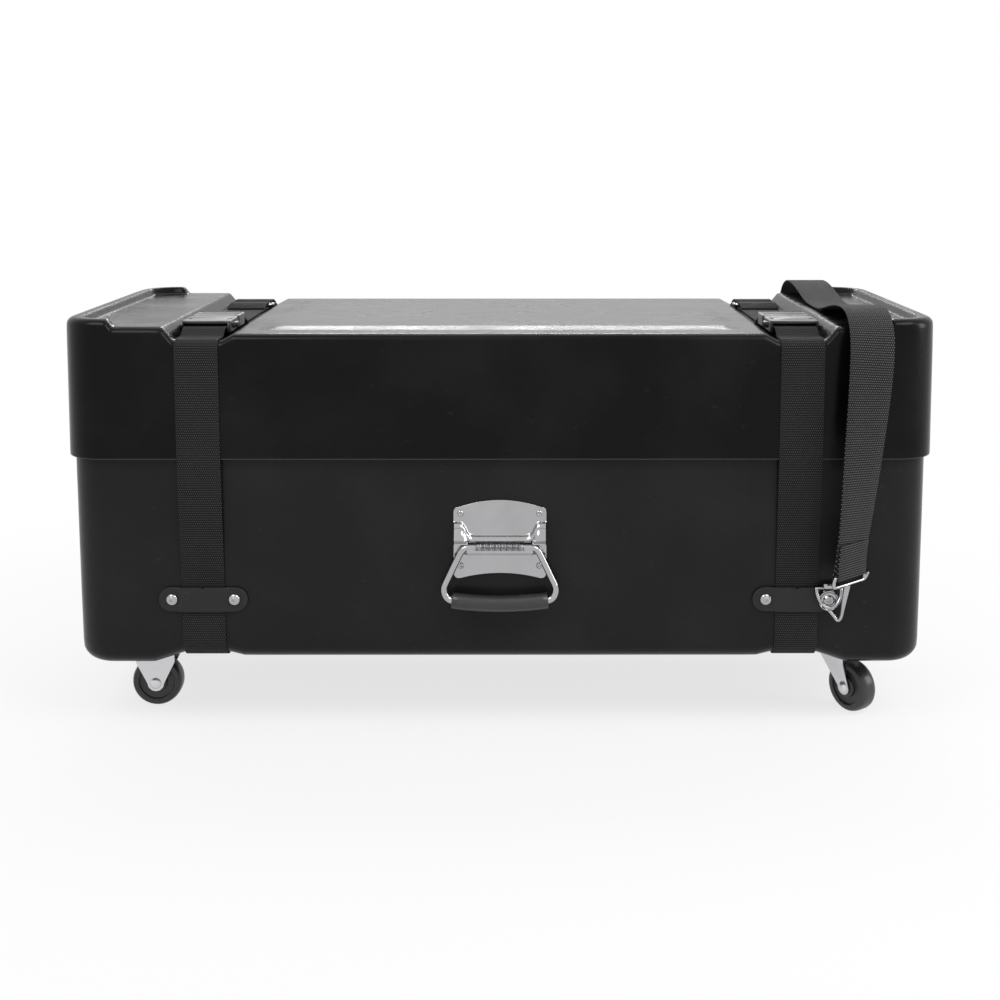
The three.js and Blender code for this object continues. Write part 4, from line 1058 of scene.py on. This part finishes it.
def makeRetainerStrip():  # drawn about X = 0 on the front face
    half = retainer['halfLength']
    high = retainer['halfHeight'] - retainer['trim']
    arc = [math.radians(-90 + 15 * step) for step in range(13)]
    right = [(half - high + high * math.cos(turn), high * math.sin(turn)) for turn in arc]
    notch = retainer['notch']
    top = [(notch, high), (0, high - notch), (-notch, high)]
    left = [(-x, z) for x, z in reversed(right)]
    outline = [*right, *top, *left]
    points = [(x, -retainer['face'], retainer['height'] + z) for x, z in outline]
    strip = startSheet('retainerStrip', points, (0, -retainer['thickness'], 0), retainer['faceRim'])
    startEdit(strip)
    cutAcross(strip, 'x', [place * mm for place in retainer['cuts']])
    span = retainer['foot'] - retainer['flat']
    shiftLevels(strip, lambda place: round(smoothStep((retainer['foot'] - abs(place.x)) / span), 4),
                (0, -retainer['lift'], 0))
    endEdit()
    roundEdges(strip, retainer['edge'], 3, 50)
    smoothShade(strip, 35)
    return strip


def makeRivet(grip):  # domed head with its hollow middle at the origin, and its set end a grip behind
    radius = rivet['radius']
    rise = rivet['rise']
    hole = rivet['hole']
    shank = rivet['shank']
    back = rivet['backRadius']
    tail = grip + rivet['backRise']
    profile = [(0, -0.6 * rise), (hole * 0.8, -0.6 * rise), (hole, -0.75 * rise), (hole, -0.98 * rise),
               (hole + 0.5 * mm, -1.06 * rise), (0.45 * radius, -1.04 * rise), (0.52 * radius, -0.9 * rise),
               (0.6 * radius, -0.9 * rise), (0.75 * radius, -0.78 * rise), (0.9 * radius, -0.5 * rise),
               (radius, -0.18 * rise), (radius, 0.3 * mm), (shank, 0.3 * mm), (shank, grip),
               (back, grip), (back * 0.8, tail), (0, tail)]
    made = turnProfile('rivet', profile, 'y', (0, 0, 0), 40)
    smoothShade(made, 40)
    return made


def makeRetainers():
    strip = makeRetainerStrip()
    rivets = [makeRivet(rivet['grip']), makeRivet(rivet['clipGrip'])]
    for word, side in sides:
        front = movedCopy(strip, word + 'RetainerFront', (side * retainer['centre'], 0, 0))
        back = mirroredCopy(front, word + 'RetainerBack', 'y')
        dress(front, retainerVinyl, word + '_retainer_front')
        dress(back, retainerVinyl, word + '_retainer_back')
        for end, away in (('inner', -1), ('outer', 1)):
            clipped = side > 0 and end == 'outer'  # this one also holds the tow ring's clip
            stack = rivet['clipStack'] if clipped else rivet['stack']
            x = side * (retainer['centre'] + away * retainer['rivetSpread'])
            place = (x, -rivet['face'] - stack, retainer['height'])
            head = movedCopy(rivets[clipped], word + end + 'RivetFront', place)
            tail = mirroredCopy(head, word + end + 'RivetBack', 'y')
            dress(head, platedChrome, '%s_%s_rivet_front' % (word, end))
            dress(tail, platedChrome, '%s_%s_rivet_back' % (word, end))
    dropPieces([strip, *rivets])


makeRetainers()
print('retainers riveted')


# Drop handles

handle = {
    'hinge': 227.5 * mm,
    'face': 186 * mm,
    'plateBack': 186.3 * mm,
    'plateThickness': 2 * mm,
    'halfWidth': 55 * mm,
    'top': 275 * mm,
    'bottom': 188 * mm,
    'crown': 8.5 * mm,
    'dip': 6.5 * mm,
    'corner': 7 * mm,
    'rivets': [(46.5 * mm, 267.5 * mm), (46.5 * mm, 203.8 * mm)],
    'rivet': [  # radius, and back from the plate's front, in millimetres
        (0, -0.3), (1.1, -0.3), (1.5, -1.2), (2, -1.7), (2.7, -1.8), (3.4, -1.3), (3.8, -0.3), (3.8, 0.4),
        (3, 0.6), (3, 7.6), (6, 7.6), (5, 9.2), (0, 9.2)],
    'plateRim': 1.1 * mm,
    'plateEdge': 0.55 * mm,
    'wire': 4.2 * mm,
    'bail': [  # half of the bail: across, and down from the hinge line, in millimetres
        (22, 0), (30, 0), (36.5, 0), (41.5, 1), (45.2, 4.2), (48.2, 9.4), (54.6, 22.6), (61, 36),
        (64.6, 43.6), (66, 49), (65.2, 54.6), (62.4, 59.4), (58, 62), (51, 63), (28.5, 65.4), (0, 66.5)],
    'swing': 14 * mm,  # out of the grip's middle from the face
    'hingeOut': 8.4 * mm,
    'gripDrop': 62.6 * mm,
    'gripRadius': 9.7 * mm,
    'gripHalf': 57 * mm,
    'gripSag': 3.9 * mm,
    'coilRadius': 4.9 * mm,
    'coilHalf': 29 * mm,  # ends short of the bail's bends
    'coilWire': 0.6 * mm,
    'coilPitch': 1.45 * mm,
    'coilSteps': 12,  # corners in each turn
}

hood = {  # the pressed ears, ridge and barrel: across, and height from the hinge line, in millimetres
    'grid': (110, 96),
    'middle': 9,
    'height': 45,
    'end': 55.4,  # it falls back to the plate over the slope's width, up to here
    'endSlope': 1.4,
    'thickness': 0.9 * mm,
    'sink': 0.1 * mm,  # its foot into the plate
    'edge': [  # the pressing's top edge
        (55, 30.5), (47, 30.5), (44.2, 29.4), (42, 27), (40, 23), (38, 18.6), (36, 16.2), (33.5, 14.9),
        (30, 14.3), (0, 14.2)],
    'rise': [  # how far it stands out at each distance below that edge
        (22, 11.4), (20.5, 11.4), (19, 11.1), (14, 8.7), (9, 5.6), (8, 5.2), (6.6, 6.1), (5, 5.6),
        (2.6, 3.4), (1, 1.1), (0, 0)],
    'ridgeFoot': 9.4,
    'barrelTop': 8.2,  # above this the barrel is no higher than the rise
    'barrel': [  # below the ridge, between the ears: height, and out from the plate
        (8.2, 6.6), (7.3, 6.4), (6.8, 4.6), (6.3, 1.5), (1.2, 1.5), (0.6, 4), (-0.2, 8), (-1.6, 9.8),
        (-3.6, 11.2), (-5.3, 12), (-6, 11.2), (-6.5, 9.2), (-7.2, 9.4), (-9.4, 11), (-10.8, 11.6),
        (-11.5, 9.6), (-12, 4), (-12.6, 0)],
    'ear': [  # the same beside it
        (9.6, 11.4), (8.4, 10.2), (7.8, 6), (6.8, 5.2), (3.4, 7.2), (2.6, 5.4), (2.2, 1.6), (-8, 1.4),
        (-10.5, 0)],
    'earSlope': 2,
    'upperFoot': 0.6,  # down to here the ears start at the first of these ends, and below it at the second
    'upperEnd': 36.5,
    'lowerEnd': 39,
    'curveTop': -5,  # the second end curves in below this
    'curve': 0.1,
}


def curveBetween(start, control, end, steps):  # points on a quadratic curve
    return [((1 - s) ** 2 * start[0] + 2 * s * (1 - s) * control[0] + s * s * end[0],
             (1 - s) ** 2 * start[1] + 2 * s * (1 - s) * control[1] + s * s * end[1])
            for s in [index / steps for index in range(steps)]]


def handleRelief(across, height):  # in millimetres: out from the plate at this place
    rise = lookUp(hood['rise'], lookUp(hood['edge'], across) - height)
    if height > hood['ridgeFoot']:
        return rise
    end = hood['upperEnd']
    if height <= hood['upperFoot']:
        end = hood['lowerEnd'] - hood['curve'] * max(hood['curveTop'] - height, 0) ** 2
    side = smoothStep((across - end) / hood['earSlope'])
    barrel = lookUp(hood['barrel'], height)
    if height > hood['barrelTop']:
        barrel = min(barrel, rise)
    return barrel * (1 - side) + lookUp(hood['ear'], height) * side


def makePlate():
    half = handle['halfWidth']
    flat = half - handle['corner']
    top = handle['top']
    bottom = handle['bottom']
    crown = 2 * handle['crown']
    corner = handle['corner']
    outline = [*curveBetween((-flat, bottom), (0, bottom + 2 * handle['dip']), (flat, bottom), 20),
               *curveBetween((flat, bottom), (half, bottom), (half, bottom + corner), 6),
               (half, bottom + corner),
               *curveBetween((half, top - corner), (half, top), (flat, top), 6),
               *curveBetween((flat, top), (0, top + crown), (-flat, top), 20),
               *curveBetween((-flat, top), (-half, top), (-half, top - corner), 6),
               (-half, top - corner),
               *curveBetween((-half, bottom + corner), (-half, bottom), (-flat, bottom), 6)]
    sheet = startSheet('handlePlate', [(x, -handle['plateBack'], z) for x, z in outline],
                       (0, -handle['plateThickness'], 0), handle['plateRim'])
    roundEdges(sheet, handle['plateEdge'], 3, 50)
    smoothShade(sheet, 40)
    return sheet


def makeHood():
    columns, rows = hood['grid']
    bpy.ops.object.select_all(action='DESELECT')
    bpy.ops.mesh.primitive_grid_add(x_subdivisions=columns, y_subdivisions=rows, size=1)
    pressed = bpy.context.object
    pressed.name = 'handleHood'
    front = handle['plateBack'] + handle['plateThickness'] - hood['sink']
    for vert in pressed.data.vertices:
        x = vert.co.x * 2 * handle['halfWidth']
        height = hood['middle'] + vert.co.y * hood['height']
        fall = smoothStep((hood['end'] * mm - abs(x)) / (hood['endSlope'] * mm))
        out = handleRelief(abs(x) / mm, height) * mm * fall
        vert.co = (x, -front - out, handle['hinge'] + height * mm)
    addModifier(pressed, 'SOLIDIFY', {'thickness': hood['thickness'], 'offset': -1})
    startEdit(pressed)
    squareUp()
    endEdit()
    smoothShade(pressed, 60)
    return pressed


def makeCoil():  # the return spring round the bail's axle
    turns = int(2 * handle['coilHalf'] / handle['coilPitch'])
    steps = handle['coilSteps']
    points = []
    for step in range(turns * steps + 1):
        angle = 2 * math.pi * step / steps
        points.append((-handle['coilHalf'] + step / steps * handle['coilPitch'],
                       -handle['face'] - handle['hingeOut'] + handle['coilRadius'] * math.cos(angle),
                       handle['hinge'] + handle['coilRadius'] * math.sin(angle)))
    return bendWire('handleSpring', points, handle['coilWire'], resolution=0)


def makeHandleRivets():
    face = -handle['plateBack'] - handle['plateThickness']
    head = turnProfile('handleRivet', fromMillimetres(handle['rivet']), 'y', (0, face, 0))
    smoothShade(head, 40)
    made = [movedCopy(head, 'handleRivet', (side * x, 0, z))
            for x, z in handle['rivets'] for side in (-1, 1)]
    dropPieces([head])
    return made


def bailPoint(x, drop):
    out = handle['hingeOut'] + (handle['swing'] - handle['hingeOut']) * drop * mm / handle['gripDrop']
    return (x * mm, -handle['face'] - out, handle['hinge'] - drop * mm)


def makeBail():
    half = handle['bail']
    route = [*half, *[(-x, drop) for x, drop in reversed(half[:-1])]]
    points = smoothStations([bailPoint(x, drop) for x, drop in route], 4)
    return bendWire('handleBail', points, handle['wire'], resolution=4)


def makeGrip():
    half = handle['gripHalf']
    stations = [(-1, 0.8), (-0.995, 0.93), (-0.982, 1), (-0.8, 1), (-0.6, 1), (-0.4, 1), (-0.2, 1), (0, 1)]
    stations = [*stations, *[(-share, size) for share, size in reversed(stations[:-1])]]
    out = handle['face'] + handle['swing']
    height = handle['hinge'] - handle['gripDrop']
    points = [(share * half, -out, height - handle['gripSag'] * (1 - share * share))
              for share, size in stations]
    return bendWire('handleGrip', points, handle['gripRadius'], swell=[size for share, size in stations],
                    resolution=8)


def makeHandles():
    plate = joinPieces('handlePlate', [makePlate(), makeHood(), *makeHandleRivets()])
    coil = makeCoil()
    bail = makeBail()
    grip = makeGrip()
    fittings = ((plate, platedChrome, 'chrome', 'handle_plate_'),
                (bail, platedChrome, 'chrome', 'handle_bail_'),
                (grip, gripVinyl, 'grip', 'handle_grip_'))
    for word in ('front', 'back'):
        for shape, material, slot, node in fittings:
            piece = frontOrBackCopy(shape, shape.name + word.capitalize(), word)
            dress(piece, material, node + word)
        spring = frontOrBackCopy(coil, 'handleSpring' + word.capitalize(), word)
        coat(spring, springSteel)
        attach(spring, 'base')
    dropPieces([plate, coil, bail, grip])


# Tow strap's hooks, rings and clips

hook = {
    'rivetX': 390 * mm,
    'rivetZ': 162.5 * mm,
    'face': 186 * mm,
    'eyeX': 410 * mm,
    'eyeY': -208 * mm,
    'barLow': 188 * mm,
    'barHigh': 199 * mm,
    'yaw': 38,
    'eyeHalf': 27.7 * mm,
    'eyeCorner': 4 * mm,
    'wire': 2 * mm,
    'vee': [  # from the eye to its point and up behind the ring: across, out and up from the rivet
        (17, 25.1, 25.5), (15.2, 21.5, 5.5), (13.4, 17.8, -13), (11.8, 15.2, -20.2), (9.2, 13, -22),
        (6.2, 11.2, -18.6), (1.2, 8.6, -12.8), (-1.6, 6.6, -9.8)],
    'gusset': 2,  # place in that list where the wide part ends
    'gussetTop': -3.5 * mm,  # across the eye's lower bar, where it starts
    'ears': [  # each upturned end of the eye: across, height and out from its plane
        [(-25, 188, 0), (-28.4, 189.2, 0.2), (-29.6, 192.6, 0.8), (-29.8, 197, 1.8), (-28.4, 201.6, 3)],
        [(24, 188, 0), (27.4, 188.6, 0.2), (29.4, 190.6, 0.8), (30.2, 193.4, 1.8), (31.4, 197, 3)]],
    'ringOut': 7.1 * mm,
    'ringSlide': -0.4 * mm,
    'ringRise': 15 * mm,
    'ringHalf': 14.8 * mm,
    'ringDrop': 21.6 * mm,
    'ringLean': 9 * mm,
    'ringWire': 2 * mm,
    'ringSteps': 24,
    'clipEdge': 0.3 * mm,
    'dish': [  # round the clip's rivet: radius, and out from the case
        (2.6, 7), (2.6, 9), (3.6, 9.7), (4.9, 9.7), (6, 8.6), (6.9, 7.5), (8.6, 7.5), (10.2, 8.2),
        (11.2, 9.1), (12, 8.9), (11.4, 7.4), (9.8, 6.8), (2.6, 6.4)],
    'fold': [  # the webbing's end, folded round the eye: out from its plane, and height
        (1.9, 238), (2.1, 215), (3.4, 204), (3.5, 199), (2.6, 196.4), (0, 195.3), (-2.6, 196.4),
        (-3.5, 199), (-3.4, 204), (-2.1, 215), (-1.9, 238)],
    'leanStart': 203,  # from this height up the fold leans towards the strap above it
    'leanEnd': 238,
    'lean': (4.2 * mm, 0.2 * mm, 0),
    'leanShare': 0.9,
}


def eyePoint(across, height, out=0.0):  # a place in the plane of the eye, which is turned by its yaw
    turn = math.radians(hook['yaw'])
    return (hook['eyeX'] + across * math.cos(turn) + out * math.sin(turn),
            hook['eyeY'] + across * math.sin(turn) - out * math.cos(turn), height)


def makeHook():
    half = hook['eyeHalf']
    low, high = hook['barLow'], hook['barHigh']
    corners = [eyePoint(x, z) for x, z in ((-half, low), (half, low), (half, high), (-half, high))]
    eye = bendWire('hookEye', roundRing(corners, hook['eyeCorner']), hook['wire'], closed=True)
    ears = []
    for line in hook['ears']:
        points = smoothStations([eyePoint(x * mm, z * mm, out * mm) for x, z, out in line], 4)
        swell = [1] * (len(points) - 3) + [0.97, 0.88, 0.6]
        ears.append(bendWire('hookEar', points, hook['wire'], swell=swell))
    route = [Vector((hook['rivetX'] + x * mm, -hook['face'] - out * mm, hook['rivetZ'] + z * mm))
             for x, out, z in hook['vee']]
    points = smoothStations([tuple(point) for point in route], 6)
    vee = bendWire('hookVee', points, hook['wire'], swell=[1] * (len(points) - 3) + [0.97, 0.85, 0.55])
    top = Vector(eyePoint(hook['gussetTop'], hook['barLow']))
    foot = route[hook['gusset']]
    line = [tuple(top + (foot - top) * share) for share in (0, 0.2, 0.4, 0.6, 0.8, 1)]
    gusset = bendWire('hookGusset', line, hook['wire'], swell=[2.2, 1.95, 1.7, 1.45, 1.2, 1])
    return joinPieces('towHook', [eye, *ears, vee, gusset])


def makeRing():
    lean = math.atan2(hook['ringLean'], hook['ringDrop'])
    half = hook['ringHalf']
    points = [(half, 0)]
    for step in range(hook['ringSteps'] + 1):
        turn = -math.pi * step / hook['ringSteps']
        points.append((half * math.cos(turn), -mm + hook['ringDrop'] * math.sin(turn)))
    points.append((-half, 0))
    axisY = -hook['face'] - hook['ringOut']
    middle = hook['rivetX'] + hook['ringSlide']
    top = hook['rivetZ'] + hook['ringRise']
    placed = [(middle + x, axisY + drop * math.sin(lean), top + drop * math.cos(lean)) for x, drop in points]
    return bendWire('towRing', placed, hook['ringWire'], closed=True)


def makeStrapFold():
    lean = Vector(hook['lean'])
    centres = []
    for out, height in smoothStations(hook['fold'], 3):
        share = ramp(height, hook['leanStart'], hook['leanEnd'])
        centres.append(Vector(eyePoint(0.0, height * mm, out * mm)) + lean * share * hook['leanShare'])
    turn = math.radians(hook['yaw'])
    across = Vector((math.cos(turn), math.sin(turn), 0))
    return layWebbing('towFold', centres, [across] * len(centres))


def makeTowFittings():
    shapes = [(makeHook(), 'tow_hook_'), (makeRing(), 'tow_ring_')]
    clip = nodeCopy('tow_ring_clip_front', 'towClip')
    roundEdges(clip, hook['clipEdge'], 2, 40)
    smoothShade(clip, 40)
    points = [(radius * mm, -hook['face'] - out * mm) for radius, out in hook['dish']]
    dish = turnProfile('clipDish', points, 'y', (hook['rivetX'], 0, hook['rivetZ']), 40, closed=True)
    smoothShade(dish, 40)
    shapes.append((joinPieces('towClip', [clip, dish]), 'tow_ring_clip_'))
    fold = makeStrapFold()
    for word in ('front', 'back'):
        for shape, node in shapes:
            piece = frontOrBackCopy(shape, shape.name + word.capitalize(), word)
            dress(piece, platedChrome, node + word)
        end = frontOrBackCopy(fold, 'towFold' + word.capitalize(), word)
        coat(end, towWeave)
        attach(end, 'base')
    dropPieces([fold, *[shape for shape, node in shapes]])


# Casters

caster = {
    'axle': 31 * mm,
    'rigid': [(-432 * mm, -106 * mm), (-432 * mm, 106 * mm)],
    'swivel': [(437.25 * mm, -127.2 * mm), (437.25 * mm, 84.8 * mm)],
    'turn': -58,
    'wheel': [  # radius, and place along the axle, in millimetres
        (4.4, -12), (11, -12), (12.4, -11.4), (13, -10.4), (13.4, -8.4), (20.6, -8.2), (21.4, -8.6),
        (22, -11), (23, -11.8), (26.5, -11.6), (28.6, -10.8), (30, -9), (30.8, -6), (31, -2.6), (31, 2.6),
        (30.8, 6), (30, 9), (28.6, 10.8), (26.5, 11.6), (23, 11.8), (22, 11), (21.4, 8.6), (20.6, 8.2),
        (13.4, 8.4), (13, 10.4), (12.4, 11.4), (11, 12), (4.4, 12)],
    'pin': [
        (0, -19.5), (2.8, -19.3), (5.2, -18.4), (6.7, -17), (7.2, -15.9), (7.2, -15.3), (4, -15.3),
        (4, 15.3), (7.2, 15.3), (7.2, 15.9), (6.7, 17), (5.2, 18.4), (2.8, 19.3), (0, 19.5)],
    'cheek': [  # across, and height from the axle
        (10.6, 0), (9.2, -5.2), (5.3, -9.2), (0, -10.6), (-5.3, -9.2), (-9.2, -5.2), (-10.6, 0), (-24, 27),
        (-24, 44), (24, 44), (24, 27)],
    'cheekIn': 13.3 * mm,
    'cheekOut': 15.7 * mm,
    'cheekRim': 0.9 * mm,
    'forkEdge': 0.5 * mm,
    'plateEdge': 0.4 * mm,
}


def makeWheel():
    wheel = turnProfile('wheel', fromMillimetres(caster['wheel']), 'y', (0, 0, 0), 72, closed=True)
    smoothShade(wheel, 30)
    return wheel


def makeAxle():
    axle = turnProfile('axle', fromMillimetres(caster['pin']), 'y', (0, 0, 0), 40)
    smoothShade(axle, 35)
    return axle


def makeCheeks(x, y):  # the fork's pressed sides, which widen upwards
    made = []
    for side in (-1, 1):
        points = [(x + across * mm, y + side * caster['cheekIn'], caster['axle'] + rise * mm)
                  for across, rise in caster['cheek']]
        move = (0, side * (caster['cheekOut'] - caster['cheekIn']), 0)
        cheek = startSheet('forkCheek', points, move, caster['cheekRim'])
        roundEdges(cheek, caster['forkEdge'], 3, 50)
        smoothShade(cheek, 35)
        made.append(cheek)
    return made


def makeCasters():
    wheel = makeWheel()
    axle = makeAxle()
    ends = (('left', caster['rigid'], 0), ('right', caster['swivel'], caster['turn']))
    for index, word in enumerate(('front', 'back')):
        for side, places, turn in ends:
            x, y = places[index]
            place = Matrix.Translation((x, y, caster['axle'])) @ Matrix.Rotation(math.radians(turn), 4, 'Z')
            start = '%s_%s_caster_' % (side, word)
            dress(placedCopy(wheel, side + 'Wheel' + word, place), wheelRubber, start + 'wheel')
            dress(placedCopy(axle, side + 'Axle' + word, place), zincPlate, start + 'axle')
            fork = nodeCopy(start + 'fork', side + 'Fork' + word)
            roundEdges(fork, caster['forkEdge'], 2, 40)
            smoothShade(fork, 35)
            if side == 'left':
                fork = joinPieces(side + 'Fork' + word, [fork, *makeCheeks(x, y)])
            dress(fork, zincPlate, start + 'fork')
            if side == 'right':
                plate = nodeCopy(start + 'plate', 'swivelPlate' + word)
                roundEdges(plate, caster['plateEdge'], 2, 40)
                smoothShade(plate, 35)
                dress(plate, zincPlate, start + 'plate')
    dropPieces([wheel, axle])


makeHandles()
print('handles made')
makeTowFittings()
makeCasters()
print('hooks and casters made')


# Camera, floor, studio and light

view = {
    'place': (26.2 * mm, -1723.6 * mm, 695.8 * mm),
    'pitch': 6.5,
    'turn': -0.07,
    'focalPixels': 1332.7,
    'pixels': 1000,  # width of the picture that the focal length is measured on
    'sensor': 36,
    'shift': (-0.0237, -0.2),
}


def makeCamera():
    lens = bpy.data.cameras.new('photographCamera')
    lens.sensor_width = view['sensor']
    lens.lens = view['focalPixels'] / view['pixels'] * view['sensor']
    lens.shift_x, lens.shift_y = view['shift']
    camera = bpy.data.objects.new('photographCamera', lens)
    scene.collection.objects.link(camera)
    camera.location = view['place']
    camera.rotation_euler = (math.radians(90 - view['pitch']), 0, math.radians(view['turn']))
    scene.camera = camera


studio = {
    'floorHalf': 6.0,
    'floorTone': 0.8,
    'shadow': 0.25,  # share of its own shading that the floor keeps close to the case
    'fadeStart': 0.4,  # from here out to the next distance it fades to the background's white
    'fadeEnd': 1.2,
    'worldLevel': 0.45,
    'aim': (0, 0, 0.3),
    'softboxes': [  # place, size, watts
        ((-1.3, -1.3, 2.4), (1.5, 1.1), 26),
        ((1.5, -1.2, 2.3), (1.5, 1.1), 30),
        ((0, 3.2, 1.94), (1.9, 0.2), 30),
        ((2.6, -0.5, 1.1), (0.7, 1.3), 22),
        ((0, 1.2, 2.7), (2.4, 0.8), 16),
    ],
}


def makeFloor():
    bpy.ops.object.select_all(action='DESELECT')
    bpy.ops.mesh.primitive_plane_add(size=2 * studio['floorHalf'], location=(0, 0, 0))
    floor = bpy.context.object
    floor.name = 'studioFloor'
    pale = materialFinish('floorPaper', {'Roughness': 0.9, 'Specular IOR Level': 0.0,
                                         'Base Color': grey(studio['floorTone'])})
    reach = pale.node('ShaderNodeVectorMath', {'operation': 'LENGTH'}, {0: pale.place()}, 'Value')
    far = pale.ramp(reach / 2, (studio['fadeStart'] / 2, 0), (studio['fadeEnd'] / 2, 1))
    white = pale.node('ShaderNodeEmission', {}, {'Color': grey(1.0), 'Strength': 1.0}, 'Emission')
    share = pale.backgroundRays() * (far * studio['shadow'] + (1 - studio['shadow']))
    lit = Value(pale, pale.shader.outputs[0])
    mixed = pale.node('ShaderNodeMixShader', {}, {0: share, 1: lit, 2: white}, 'Shader')
    pale.feed(pale.tree.nodes['Material Output'].inputs['Surface'], mixed)
    floor.data.materials.append(pale.owner)


def makeWorld():
    scene.world = bpy.data.worlds.new('studioWorld')
    sky = Finish(scene.world, 'Background', {'Color': grey(1.0)})
    seen = sky.backgroundRays()
    sky.paint('Strength', (1 - seen) * studio['worldLevel'] + seen)


def makeLights():
    for index, (place, size, watts) in enumerate(studio['softboxes']):
        light = bpy.data.lights.new('softbox%d' % index, 'AREA')
        light.shape = 'RECTANGLE'
        light.size, light.size_y = size
        light.energy = watts
        lamp = bpy.data.objects.new('softbox%d' % index, light)
        scene.collection.objects.link(lamp)
        lamp.location = place
        aim = Vector(studio['aim']) - Vector(place)
        lamp.rotation_euler = aim.to_track_quat('-Z', 'Y').to_euler()


makeCamera()
makeFloor()
makeWorld()
makeLights()
print('studio ready')
